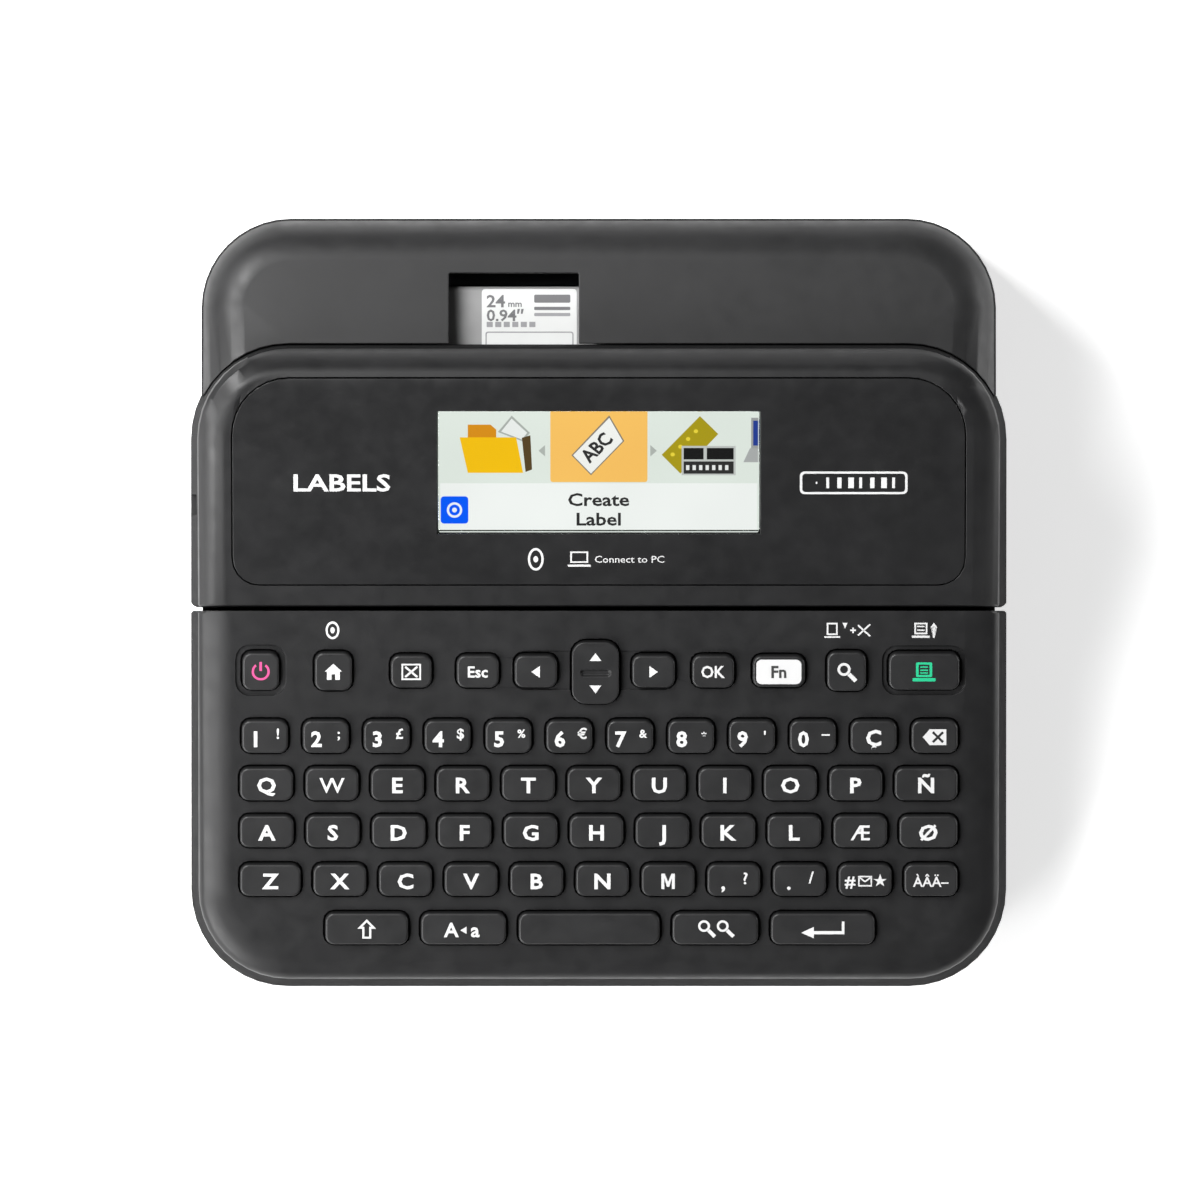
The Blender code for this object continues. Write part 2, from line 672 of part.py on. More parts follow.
def build_display(parent):
    """Panel, screen cover and display module, all lying on the display slope."""
    s0 = on_lid(SCREEN_FRONT_Y)
    s1 = on_lid(SCREEN_REAR_Y)
    middle = LID_MATRIX @ Vector((0.0, (s0 + s1) / 2, 0.0))
    item = panel_solid("display_panel", 0.0, -PANEL_THICK, 0.0)
    item.hide_render = False
    item.display_type = "TEXTURED"
    bm = bmesh.new()
    block(bm, -SCREEN_HALF, SCREEN_HALF, s0, s1, -6.0, 4.0, LID_MATRIX)
    combine(item, helper("panel_screen_hole", bm), "DIFFERENCE")
    paint(item, (0.035, 0.035, 0.037), 0.35)
    hang(item, parent)

    bm = bmesh.new()
    block(bm, -SCREEN_HALF + 0.3, SCREEN_HALF - 0.3, s0 + 0.3, s1 - 0.3, -PANEL_THICK + 0.4, -0.3, LID_MATRIX)
    item = finish_mesh("screen_cover", bm, middle)
    paint(item, (0.75, 0.78, 0.76), 0.1)
    hang(item, parent)

    bm = bmesh.new()
    block(bm, -SCREEN_HALF - 6.0, SCREEN_HALF + 6.0, s0 - 5.0, s1 - 0.3, -8.2, -4.7, LID_MATRIX)
    item = finish_mesh("display_module", bm, middle)
    paint(item, (0.6, 0.66, 0.62), 0.4)
    hang(item, parent)


# ---------------------------------------------------------------- tape bay

PLATEN_X = -54.0 * KX
PLATEN_Y = CASSETTE_Y0 - PLATEN_R
SLOT_Y = PLATEN_Y + PLATEN_R + 0.3
JACK_Y = 33.0 * KY
USB_Y = 51.0 * KY
TRAIN = Vector((-24.0, 27.6)).normalized()
IDLER_STEP = GEAR_MODULE * (PLATEN_TEETH + IDLER_TEETH) / 2
PINION_STEP = IDLER_STEP + GEAR_MODULE * (IDLER_TEETH + PINION_TEETH) / 2
IDLER_X = PLATEN_X + IDLER_STEP * TRAIN.x
IDLER_Y = PLATEN_Y + IDLER_STEP * TRAIN.y
MOTOR_X = PLATEN_X + PINION_STEP * TRAIN.x
MOTOR_Y = PLATEN_Y + PINION_STEP * TRAIN.y
GEAR_Z = BAY_FLOOR - BAY_THICK - 3.7 - GEAR_THICK
TRAIN_ANGLE = math.atan2(TRAIN.y, TRAIN.x)
CUTTER_X = PLATEN_X - 17.0


def gear_points(teeth, turn):
    """Outline of a slim-toothed gear; turn is the direction of one tooth."""
    pitch = GEAR_MODULE * teeth / 2
    tooth = 2.0 * math.pi / teeth
    tip = pitch + 0.62 * GEAR_MODULE
    root = pitch - 1.05 * GEAR_MODULE
    points = []
    for index in range(teeth):
        centre = turn + index * tooth
        for radius, share in ((root, -0.25), (tip, -0.085), (tip, 0.085), (root, 0.25)):
            angle = centre + share * tooth
            points.append((radius * math.cos(angle), radius * math.sin(angle)))
    return points


def build_gear(name, x, y, teeth, turn, bore, parent, colour):
    """Flat gear with a round bore."""
    bm = bmesh.new()
    matrix = Matrix.Translation((x, y, 0.0))
    prism(bm, gear_points(teeth, turn), GEAR_Z, GEAR_Z + GEAR_THICK, matrix)
    item = finish_mesh(name, bm, (x, y, GEAR_Z + GEAR_THICK / 2))
    bm = bmesh.new()
    prism(bm, circle(bore, 12, x, y), GEAR_Z - 3.0, GEAR_Z + GEAR_THICK + 3.0)
    combine(item, helper(name + "_bore", bm), "DIFFERENCE")
    paint(item, colour, 0.4)
    hang(item, parent)


def build_chassis(parent):
    """Tape bay floor on four posts, with a low wall round the cassette."""
    bm = bmesh.new()
    block(bm, -88.0 * KX, 44.0 * KX, 6.0 * KY, 84.0 * KY, BAY_FLOOR - BAY_THICK, BAY_FLOOR)
    item = finish_mesh("tape_chassis", bm)
    bm = bmesh.new()
    block(bm, CASSETTE_X0 - 2.1, CASSETTE_X1 + 2.1, CASSETTE_Y0 - 2.1, CASSETTE_Y1 + 2.1,
          BAY_FLOOR - 1.0, BAY_FLOOR + 8.0)
    for x in (-84.0 * KX, 40.0 * KX):
        for y in (10.0 * KY, 80.0 * KY):
            prism(bm, circle(3.6, 12, x, y), CASE_FLOOR + FLOOR_THICK + 0.3, BAY_FLOOR - 1.0)
    prism(bm, circle(SHAFT_R, 12, IDLER_X, IDLER_Y), GEAR_Z - 0.8, BAY_FLOOR - 1.0)
    combine(item, helper("chassis_additions", bm), "UNION")
    bm = bmesh.new()
    block(bm, CASSETTE_X0 - 0.5, CASSETTE_X1 + 0.5, CASSETTE_Y0 - 0.5, CASSETTE_Y1 + 0.5,
          BAY_FLOOR, BAY_FLOOR + 12.0)
    block(bm, CASSETTE_X0 - 5.0, CASSETTE_X0 - 1.0, CASSETTE_Y0 - 6.0, CASSETTE_Y0 + 6.0,
          BAY_FLOOR, BAY_FLOOR + 12.0)
    prism(bm, circle(SHAFT_R + 0.5, 12, PLATEN_X, PLATEN_Y), BAY_FLOOR - 6.0, BAY_FLOOR + 3.0)
    prism(bm, circle(SHAFT_R + 0.5, 12, MOTOR_X, MOTOR_Y), BAY_FLOOR - 6.0, BAY_FLOOR + 3.0)
    combine(item, helper("chassis_openings", bm), "DIFFERENCE")
    paint(item, (0.30, 0.30, 0.31), 0.6)
    hang(item, parent)


def build_cassette(parent):
    """Tape cassette: rounded block with two reel holes."""
    bm = bmesh.new()
    half = (CASSETTE_X1 - CASSETTE_X0) / 2
    plan = outline(half, CASSETTE_Y0, CASSETTE_Y1, 3.0, 3.0, 2, 2)
    matrix = Matrix.Translation(((CASSETTE_X0 + CASSETTE_X1) / 2, 0.0, 0.0))
    top = BAY_FLOOR + CASSETTE_TALL
    inner = outline(half - 0.8, CASSETTE_Y0 + 0.8, CASSETTE_Y1 - 0.8, 2.2, 2.2, 2, 2)
    loft(bm, [raised(plan, BAY_FLOOR + 0.3), raised(plan, top - 0.8), raised(inner, top)], matrix)
    middle = ((CASSETTE_X0 + CASSETTE_X1) / 2, (CASSETTE_Y0 + CASSETTE_Y1) / 2, BAY_FLOOR + 0.3)
    item = finish_mesh("tape_cassette", bm, middle)
    bm = bmesh.new()
    for x in (-22.0 * KX, 14.0 * KX):
        prism(bm, circle(4.2, 16, x, 50.0 * KY), BAY_FLOOR - 4.0, top + 4.0)
    combine(item, helper("cassette_reel_holes", bm), "DIFFERENCE")
    paint(item, (0.42, 0.42, 0.43), 0.45)
    hang(item, parent)


def build_print_head(parent):
    """Heated head plate facing the platen across the tape path."""
    bm = bmesh.new()
    top = BAY_FLOOR + 28.0 * KZ
    block(bm, PLATEN_X - 6.0, PLATEN_X + 6.0, SLOT_Y + 0.3, SLOT_Y + 3.3, BAY_FLOOR + 0.3, top)
    item = finish_mesh("print_head", bm, (PLATEN_X, SLOT_Y + 1.8, BAY_FLOOR + 14.0 * KZ), smooth=False)
    paint(item, (0.62, 0.62, 0.60), 0.35, 0.9)
    hang(item, parent)


def build_platen(parent):
    """Rubber roller on its shaft."""
    bm = bmesh.new()
    steps = 20
    thin = circle(SHAFT_R, steps, PLATEN_X, PLATEN_Y)
    wide = circle(PLATEN_R, steps, PLATEN_X, PLATEN_Y)
    low = BAY_FLOOR + 1.3
    high = BAY_FLOOR + 28.0 * KZ
    loft(bm, [raised(thin, GEAR_Z - 1.0), raised(thin, low), raised(wide, low), raised(wide, high),
              raised(thin, high), raised(thin, high + 1.6)])
    item = finish_mesh("platen_roller", bm, (PLATEN_X, PLATEN_Y, (low + high) / 2))
    paint(item, (0.02, 0.02, 0.02), 0.8)
    hang(item, parent)


def build_motor(parent):
    """Feed motor standing on the bay floor with its shaft pointing down."""
    bm = bmesh.new()
    steps = 20
    body = circle(MOTOR_R, steps, MOTOR_X, MOTOR_Y)
    rim = circle(MOTOR_R - 1.0, steps, MOTOR_X, MOTOR_Y)
    shaft = circle(PIN_R, steps, MOTOR_X, MOTOR_Y)
    low = BAY_FLOOR + 0.3
    high = BAY_FLOOR + 24.0 * KZ
    loft(bm, [raised(shaft, GEAR_Z - 0.6), raised(shaft, low), raised(body, low), raised(body, high - 1.0),
              raised(rim, high)])
    item = finish_mesh("feed_motor", bm, (MOTOR_X, MOTOR_Y, low))
    paint(item, (0.55, 0.55, 0.56), 0.35, 0.9)
    hang(item, parent)


def build_cutter(parent):
    """Fixed blade beside the exit slot and the blade that swings across the tape."""
    top = 28.0 * KZ
    bm = bmesh.new()
    block(bm, CUTTER_X - 1.5, CUTTER_X - 0.3, SLOT_Y + 0.8, SLOT_Y + 7.8, BAY_FLOOR + 0.3, BAY_FLOOR + top)
    item = finish_mesh("fixed_blade", bm, (CUTTER_X, SLOT_Y + 4.0, BAY_FLOOR + 0.3), smooth=False)
    paint(item, (0.60, 0.61, 0.62), 0.3, 1.0)
    hang(item, parent)

    bm = bmesh.new()
    profile = [(-3.5, -1.2), (-1.5, -2.6), (1.5, -2.6), (3.5, -1.2), (3.5, top - 3.6), (-3.5, top - 6.5)]
    matrix = Matrix.Rotation(math.radians(90.0), 4, "Z") @ Matrix.Rotation(math.radians(90.0), 4, "X")
    prism(bm, profile, 0.0, 1.1, matrix)
    item = finish_mesh("cutter_blade", bm, smooth=False)
    pivot = Vector((CUTTER_X, SLOT_Y - 2.3, BAY_FLOOR + 3.4))
    item.matrix_world = Matrix.Translation(pivot * MM) @ Matrix.Rotation(CUTTER_OPEN, 4, "X")
    paint(item, (0.62, 0.63, 0.64), 0.3, 1.0)
    hang(item, parent)


# ---------------------------------------------------------------- other inside and underside pieces

def build_boards(parent):
    """Circuit board following the deck, and the battery pack under it."""
    bm = bmesh.new()
    block(bm, -88.0 * KX, 88.0 * KX, on_deck(-83.0 * KY), on_deck(-9.0 * KY), -11.0, -9.4, DECK_MATRIX)
    item = finish_mesh("main_board", bm, DECK_MATRIX @ Vector((0.0, on_deck(-46.0 * KY), -11.0)), smooth=False)
    paint(item, (0.03, 0.16, 0.07), 0.5)
    hang(item, parent)

    bm = bmesh.new()
    low = CASE_FLOOR + FLOOR_THICK + 0.5
    block(bm, -50.0 * KX, 50.0 * KX, -76.0 * KY, -28.0 * KY, low, low + 13.5 * KZ)
    item = finish_mesh("battery_pack", bm, (0.0, -52.0 * KY, low), smooth=False)
    paint(item, (0.10, 0.22, 0.40), 0.5)
    hang(item, parent)

    bm = bmesh.new()
    gap = 0.4
    block(bm, -54.0 * KX + gap, 54.0 * KX - gap, -78.0 * KY + gap, -26.0 * KY - gap,
          CASE_FLOOR, CASE_FLOOR + FLOOR_THICK)
    item = finish_mesh("battery_cover", bm, (0.0, -52.0 * KY, CASE_FLOOR), smooth=False)
    paint(item, (0.042, 0.042, 0.044), 0.6)
    hang(item, parent)


def build_sockets(parent):
    """Power and data sockets in the right-hand wall."""
    outer = WIDTH / 2 - SKIRT_LIP - 0.4
    bm = bmesh.new()
    block(bm, outer - 13.0, outer, JACK_Y - 5.0, JACK_Y + 5.0, 9.0, 19.0)
    item = finish_mesh("power_socket", bm, (outer, JACK_Y, 14.0), smooth=False)
    bm = bmesh.new()
    rod_along_x(bm, outer - 9.5, outer + 4.0, JACK_Y, 14.0, 3.0, 16)
    combine(item, helper("power_socket_bore", bm), "DIFFERENCE")
    paint(item, (0.02, 0.02, 0.02), 0.5)
    hang(item, parent)

    bm = bmesh.new()
    block(bm, outer - 11.0, outer, USB_Y - 6.5, USB_Y + 6.5, 9.0, 16.5)
    item = finish_mesh("data_socket", bm, (outer, USB_Y, 12.8), smooth=False)
    bm = bmesh.new()
    block(bm, outer - 8.5, outer + 4.0, USB_Y - 5.0, USB_Y + 5.0, 10.5, 15.0)
    combine(item, helper("data_socket_mouth", bm), "DIFFERENCE")
    paint(item, (0.55, 0.55, 0.56), 0.35, 0.8)
    hang(item, parent)


def build_feet(parent):
    """Four rubber feet."""
    for name, x, y in (("foot_front_left", -72.0, -76.0), ("foot_front_right", 72.0, -76.0),
                       ("foot_rear_left", -72.0, 74.0), ("foot_rear_right", 72.0, 74.0)):
        bm = bmesh.new()
        cx = x * KX
        cy = y * KY
        loft(bm, [raised(circle(5.4, 20, cx, cy), 0.0), raised(circle(6.0, 20, cx, cy), 0.7),
                  raised(circle(6.0, 20, cx, cy), CASE_FLOOR - 0.3)])
        item = finish_mesh(name, bm, (cx, cy, 0.0))
        paint(item, (0.015, 0.015, 0.015), 0.85)
        hang(item, parent)


def build_pins(parent):
    """Hinge pins, fixed in the ears of the lower case."""
    for name, side in (("hinge_pin_left", -1.0), ("hinge_pin_right", 1.0)):
        bm = bmesh.new()
        reach = KNUCKLE_WIDE / 2 + EAR_WIDE
        rod_along_x(bm, side * HINGE_X - reach, side * HINGE_X + reach, HINGE_Y, HINGE_Z, PIN_R, 16)
        item = finish_mesh(name, bm, (side * HINGE_X, HINGE_Y, HINGE_Z))
        paint(item, (0.6, 0.6, 0.6), 0.3, 1.0)
        hang(item, parent)


def main():
    """Build every piece and hang it on its frame."""
    clear_scene()
    base = empty("base_frame", (0.0, 0.0, 0.0))
    deck = empty("deck_frame", (0.0, SEAM_Y, deck_z(SEAM_Y)), DECK_TILT)
    lid = empty("lid_axis", (0.0, HINGE_Y, HINGE_Z))
    hang(deck, base)
    hang(lid, base)

    build_case(base)
    build_deck(base)
    build_keypad(deck)
    for key in function_keys() + number_keys() + bottom_keys():
        build_key(key, (0.050, 0.050, 0.052), deck)
    build_rocker(deck)
    build_lid(lid)
    build_hood(lid)
    build_display(lid)
    build_chassis(base)
    build_cassette(base)
    build_print_head(base)
    build_platen(base)
    build_gear("platen_gear", PLATEN_X, PLATEN_Y, PLATEN_TEETH, TRAIN_ANGLE, SHAFT_R + 0.3, base,
               (0.75, 0.75, 0.72))
    half_tooth = math.pi / IDLER_TEETH
    build_gear("idler_gear", IDLER_X, IDLER_Y, IDLER_TEETH, TRAIN_ANGLE + math.pi + half_tooth,
               SHAFT_R + 0.3, base, (0.75, 0.75, 0.72))
    pinion_turn = TRAIN_ANGLE + math.pi + math.pi / PINION_TEETH
    if IDLER_TEETH % 2 == 0:
        pinion_turn = TRAIN_ANGLE + math.pi
    build_gear("motor_pinion", MOTOR_X, MOTOR_Y, PINION_TEETH, pinion_turn, PIN_R + 0.3, base,
               (0.72, 0.60, 0.30))
    build_motor(base)
    build_cutter(base)
    build_boards(base)
    build_sockets(base)
    build_feet(base)
    build_pins(base)


main()
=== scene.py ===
"""Looks of a desktop label maker, laid out as a Blender add-on and run as a script."""

import json
import math

import bmesh
import bpy
from bpy.props import FloatProperty, FloatVectorProperty, PointerProperty
from mathutils import Matrix, Vector

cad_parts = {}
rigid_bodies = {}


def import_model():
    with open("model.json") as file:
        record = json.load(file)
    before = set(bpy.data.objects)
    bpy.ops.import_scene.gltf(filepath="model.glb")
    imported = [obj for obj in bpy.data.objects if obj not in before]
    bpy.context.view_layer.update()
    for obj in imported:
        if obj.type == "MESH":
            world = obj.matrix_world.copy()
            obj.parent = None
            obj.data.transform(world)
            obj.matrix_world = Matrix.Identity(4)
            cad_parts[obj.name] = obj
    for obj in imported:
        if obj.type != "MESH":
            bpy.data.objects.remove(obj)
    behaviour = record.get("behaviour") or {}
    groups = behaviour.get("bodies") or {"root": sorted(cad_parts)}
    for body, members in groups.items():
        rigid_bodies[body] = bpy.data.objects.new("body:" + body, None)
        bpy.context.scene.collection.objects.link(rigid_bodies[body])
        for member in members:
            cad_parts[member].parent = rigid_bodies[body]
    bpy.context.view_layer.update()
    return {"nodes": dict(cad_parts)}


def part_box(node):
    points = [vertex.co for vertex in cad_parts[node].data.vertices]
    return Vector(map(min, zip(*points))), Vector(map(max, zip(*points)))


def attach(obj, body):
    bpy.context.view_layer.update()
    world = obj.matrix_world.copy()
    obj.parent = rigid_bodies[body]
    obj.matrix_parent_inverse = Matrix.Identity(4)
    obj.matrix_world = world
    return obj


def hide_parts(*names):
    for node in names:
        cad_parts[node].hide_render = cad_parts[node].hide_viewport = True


bl_info = {
    "name": "Desktop Label Maker",
    "version": (1, 0, 0),
    "blender": (4, 5, 0),
    "location": "3D View > Sidebar > Label Maker",
    "description": "Finished pieces, finishes and studio for a desktop label maker",
    "category": "Object",
}

for leftover in list(bpy.data.objects):
    bpy.data.objects.remove(leftover)
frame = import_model()

MM = 0.001

# Key caps, in millimetres: the blank they are stretched from, and the flange that holds them under the deck.
BLANK_WIDE = 10.0
BLANK_DEEP = 8.0
FLANGE_FOOT = 4.2
CAP_FOOT = 3.0
CAP_FLANGE = 1.0
ROCKER_FOOT = 3.1
ROCKER_FLANGE = 0.9

# Display, in millimetres of level distance from the middle of the case.
SCREEN_MIDDLE = 32.0
SCREEN_FRONT = 16.9
SCREEN_REAR = 47.1

# Letters stand this share of their size.
CAPITAL_SHARE = 0.69


# ---- sizes and colours

class SlopeSettings(bpy.types.PropertyGroup):
    """Where the two sloping faces lie."""

    deck_tilt: FloatProperty(name="Deck Tilt", description="Rise of the keyboard face towards the back",
                             default=math.radians(13.0), subtype="ANGLE")
    deck_rear: FloatProperty(name="Deck Rear Edge", description="Distance of the seam from the middle",
                             default=-0.0015, unit="LENGTH")
    lid_tilt: FloatProperty(name="Display Tilt", description="Rise of the display face towards the back",
                            default=math.radians(29.67265), subtype="ANGLE")
    lid_front: FloatProperty(name="Display Front Edge", description="Start of the display face",
                             default=-0.0011, unit="LENGTH")
    seam_height: FloatProperty(name="Seam Height", description="Height of the seam between the faces",
                               default=0.0520783, unit="LENGTH")


class KeySettings(bpy.types.PropertyGroup):
    """Shape of the key caps and their legends, in millimetres."""

    rise: FloatProperty(name="Rise", description="Cap height above the deck", default=1.6)
    corner: FloatProperty(name="Corner", description="Corner radius of a cap", default=2.2)
    soften: FloatProperty(name="Soften", description="Width of the rounded top edge", default=0.62)
    ink: FloatProperty(name="Ink", description="Thickness of the printed legends", default=0.03)
    letter: FloatProperty(name="Letter Height", description="Height of the capitals", default=3.9)


class FinishSettings(bpy.types.PropertyGroup):
    """Colours and grain of the finishes."""

    case_colour: FloatVectorProperty(name="Case", description="Colour of the lower case",
                                     default=(0.010, 0.010, 0.0105), subtype="COLOR")
    deck_colour: FloatVectorProperty(name="Deck", description="Colour of the keyboard face",
                                     default=(0.009, 0.009, 0.0095), subtype="COLOR")
    hood_colour: FloatVectorProperty(name="Hood", description="Colour of the hood",
                                     default=(0.017, 0.017, 0.0175), subtype="COLOR")
    key_colour: FloatVectorProperty(name="Keys", description="Colour of the key caps",
                                    default=(0.014, 0.014, 0.0145), subtype="COLOR")
    ink_colour: FloatVectorProperty(name="Legends", description="Colour of the printed legends",
                                    default=(0.56, 0.56, 0.56), subtype="COLOR")
    power_colour: FloatVectorProperty(name="Power Mark", description="Colour of the power mark",
                                      default=(0.50, 0.06, 0.20), subtype="COLOR")
    print_colour: FloatVectorProperty(name="Print Mark", description="Colour of the print mark",
                                      default=(0.01, 0.42, 0.20), subtype="COLOR")
    grain: FloatProperty(name="Grain", description="Repeats of the fine texture per metre", default=2600.0)


class StudioSettings(bpy.types.PropertyGroup):
    """Camera, floor and lamps."""

    lens: FloatProperty(name="Lens", description="Focal length of the camera in millimetres", default=1400.0)
    span: FloatProperty(name="Span", description="Width the camera sees at the object", default=0.2959,
                        unit="LENGTH")
    aim: FloatVectorProperty(name="Aim", description="Point the camera looks down on",
                             default=(0.00032, 0.00076, 0.045), subtype="TRANSLATION")
    key_power: FloatProperty(name="Main Lamp", description="Power of the large soft lamp", default=11.0,
                             unit="POWER")
    left_power: FloatProperty(name="Left Lamp", description="Power of the tall lamp on the left", default=5.0,
                              unit="POWER")
    front_power: FloatProperty(name="Front Lamp", description="Power of the low lamp in front", default=9.0,
                               unit="POWER")
    fill_power: FloatProperty(name="Side Lamp", description="Power of the low lamp on the right", default=3.0,
                              unit="POWER")
    sky: FloatProperty(name="Sky", description="Brightness of the surroundings", default=1.0)


# ---- modelling helpers

def clear_choice():
    """Deselect everything."""
    bpy.ops.object.select_all(action="DESELECT")


def choose(*items):
    """Select these objects only, the first one active."""
    clear_choice()
    for item in items:
        item.select_set(True)
    bpy.context.view_layer.objects.active = items[0]


def pick(item, kind, test):
    """In edit mode, select the vertices, edges or faces whose middle and normal pass a test."""
    bpy.ops.mesh.select_mode(type=kind)
    bpy.ops.mesh.select_all(action="DESELECT")
    bm = bmesh.from_edit_mesh(item.data)
    for part in {"VERT": bm.verts, "EDGE": bm.edges, "FACE": bm.faces}[kind]:
        if kind == "VERT":
            hit = test(part.co, part.normal)
        elif kind == "EDGE":
            hit = test((part.verts[0].co + part.verts[1].co) / 2, part.verts[0].co - part.verts[1].co)
        else:
            hit = test(part.calc_center_median(), part.normal)
        if hit:
            part.select_set(True)
    bm.select_flush_mode()
    bmesh.update_edit_mesh(item.data)


def edit(item):
    """Open one object in edit mode."""
    choose(item)
    bpy.ops.object.mode_set(mode="EDIT")


def done():
    """Leave edit mode."""
    bpy.ops.object.mode_set(mode="OBJECT")


def settle(item, matrix=None):
    """Put a piece modelled in millimetres in its place, and leave its object at the origin."""
    choose(item)
    item.matrix_world = (matrix or Matrix.Identity(4)) @ Matrix.Scale(MM, 4)
    bpy.context.view_layer.update()
    bpy.ops.object.transform_apply(location=True, rotation=True, scale=True)
    return item


def join(items, name):
    """Make one piece of several."""
    choose(*items)
    if len(items) > 1:
        bpy.ops.object.join()
    item = bpy.context.view_layer.objects.active
    item.name = name
    item.data.name = name
    return item


def work(item, name, kind, **values):
    """Add a modifier with its values and apply it."""
    choose(item)
    step = item.modifiers.new(name, kind)
    for key, value in values.items():
        setattr(step, key, value)
    bpy.ops.object.modifier_apply(modifier=step.name)
    return item


def smooth(item, degrees):
    """Smooth shading with crisp edges, and flat faces kept flat."""
    choose(item)
    bpy.ops.object.shade_smooth_by_angle(angle=math.radians(degrees))
    return work(item, "flat faces", "WEIGHTED_NORMAL", keep_sharp=True, use_face_influence=True)


def coat(item, *materials):
    """Give a piece its finishes."""
    item.data.materials.clear()
    for material in materials:
        item.data.materials.append(material)
    return item


def slab(name, wide, deep, low, high, corner=0.0, steps=5, x=0.0, y=0.0):
    """Box with rounded upright edges, in millimetres."""
    clear_choice()
    bpy.ops.mesh.primitive_cube_add(size=1.0)
    item = bpy.context.object
    item.name = name
    edit(item)
    bpy.ops.mesh.select_all(action="SELECT")
    bpy.ops.transform.resize(value=(wide, deep, high - low))
    bpy.ops.transform.translate(value=(x, y, (low + high) / 2))
    if corner > 0.0:
        pick(item, "EDGE", lambda middle, way: abs(way.z) > 0.9 * (high - low))
        bpy.ops.mesh.bevel(offset=corner, segments=steps, affect="EDGES")
    done()
    return item


def soften_top(item, top, width, steps=3):
    """Round the edge of the face at a given height."""
    edit(item)
    pick(item, "FACE", lambda middle, normal: normal.z > 0.9 and abs(middle.z - top) < 1e-3)
    bpy.ops.mesh.region_to_loop()
    bpy.ops.mesh.bevel(offset=width, segments=steps, affect="EDGES")
    done()
    return item


def twin(item, name):
    """Copy of an object with its own mesh."""
    choose(item)
    bpy.ops.object.duplicate(linked=False)
    copy = bpy.context.view_layer.objects.active
    copy.name = name
    copy.data.name = name
    return copy


def stretch(item, more_x, more_y):
    """Move the four sides of a rounded piece apart and keep its corners as they are."""
    edit(item)
    for axis, more in ((0, more_x), (1, more_y)):
        for side in (-1.0, 1.0):
            pick(item, "VERT", lambda co, normal: co[axis] * side > 0.0)
            shift = [0.0, 0.0, 0.0]
            shift[axis] = side * more / 2
            bpy.ops.transform.translate(value=shift)
    done()
    return item


def shape(name, loops, low, high):
    """Flat printed mark from closed outlines in millimetres; inner outlines make holes."""
    curve = bpy.data.curves.new(name, "CURVE")
    curve.dimensions = "2D"
    curve.fill_mode = "BOTH"
    curve.extrude = (high - low) / 2
    for loop in loops:
        spline = curve.splines.new("POLY")
        spline.points.add(len(loop) - 1)
        for point, (x, y) in zip(spline.points, loop):
            point.co = (x, y, 0.0, 1.0)
        spline.use_cyclic_u = True
    item = bpy.data.objects.new(name, curve)
    bpy.context.scene.collection.objects.link(item)
    return flatten(item, (low + high) / 2)


def flatten(item, height):
    """Turn a curve or text object into a mesh at a given height."""
    choose(item)
    bpy.ops.object.convert(target="MESH")
    item = bpy.context.view_layer.objects.active
    item.location = (0.0, 0.0, height)
    bpy.ops.object.transform_apply(location=True, rotation=True, scale=True)
    return item


def words(name, body, cap, x, y, low, high, bold=0.035, wide=1.0, turn=0.0, centre=True):
    """Printed characters of a given capital height, centred on a point or starting there."""
    curve = bpy.data.curves.new(name, "FONT")
    curve.body = body
    curve.size = cap / CAPITAL_SHARE
    curve.offset = bold * cap
    curve.resolution_u = 2
    curve.extrude = (high - low) / 2
    item = bpy.data.objects.new(name, curve)
    bpy.context.scene.collection.objects.link(item)
    item = flatten(item, (low + high) / 2)
    xs = [v.co.x for v in item.data.vertices]
    start = -(min(xs) + max(xs)) / 2 if centre else -min(xs)
    item.matrix_world = Matrix.Translation((x, y, 0.0)) @ Matrix.Rotation(turn, 4, "Z") @ \
        Matrix.Diagonal((wide, 1.0, 1.0, 1.0)) @ Matrix.Translation((start, -cap / 2, 0.0))
    bpy.context.view_layer.update()
    choose(item)
    bpy.ops.object.transform_apply(location=True, rotation=True, scale=True)
    return item


def box_loop(x0, y0, x1, y1):
    """Outline of a rectangle."""
    return [(x0, y0), (x1, y0), (x1, y1), (x0, y1)]


def round_loop(x0, y0, x1, y1, radius, steps=5):
    """Outline of a rounded rectangle."""
    loop = []
    for cx, cy, start in ((x1 - radius, y1 - radius, 0), (x0 + radius, y1 - radius, 90),
                          (x0 + radius, y0 + radius, 180), (x1 - radius, y0 + radius, 270)):
        for step in range(steps + 1):
            angle = math.radians(start + 90.0 * step / steps)
            loop.append((cx + radius * math.cos(angle), cy + radius * math.sin(angle)))
    return loop


def disc_loop(x, y, rx, ry=None, steps=24):
    """Outline of a circle or an oval."""
    ry = ry or rx
    return [(x + rx * math.cos(math.tau * n / steps), y + ry * math.sin(math.tau * n / steps))
            for n in range(steps)]


def bar_loop(x0, y0, x1, y1, width):
    """Outline of a straight stroke between two points."""
    way = Vector((x1 - x0, y1 - y0)).normalized()
    side = Vector((-way.y, way.x)) * width / 2
    return [(x0 + side.x, y0 + side.y), (x0 - side.x, y0 - side.y), (x1 - side.x, y1 - side.y),
            (x1 + side.x, y1 + side.y)]


def shifted(loops, x, y, size=1.0):
    """Outlines moved and scaled."""
    return [[(px * size + x, py * size + y) for px, py in loop] for loop in loops]


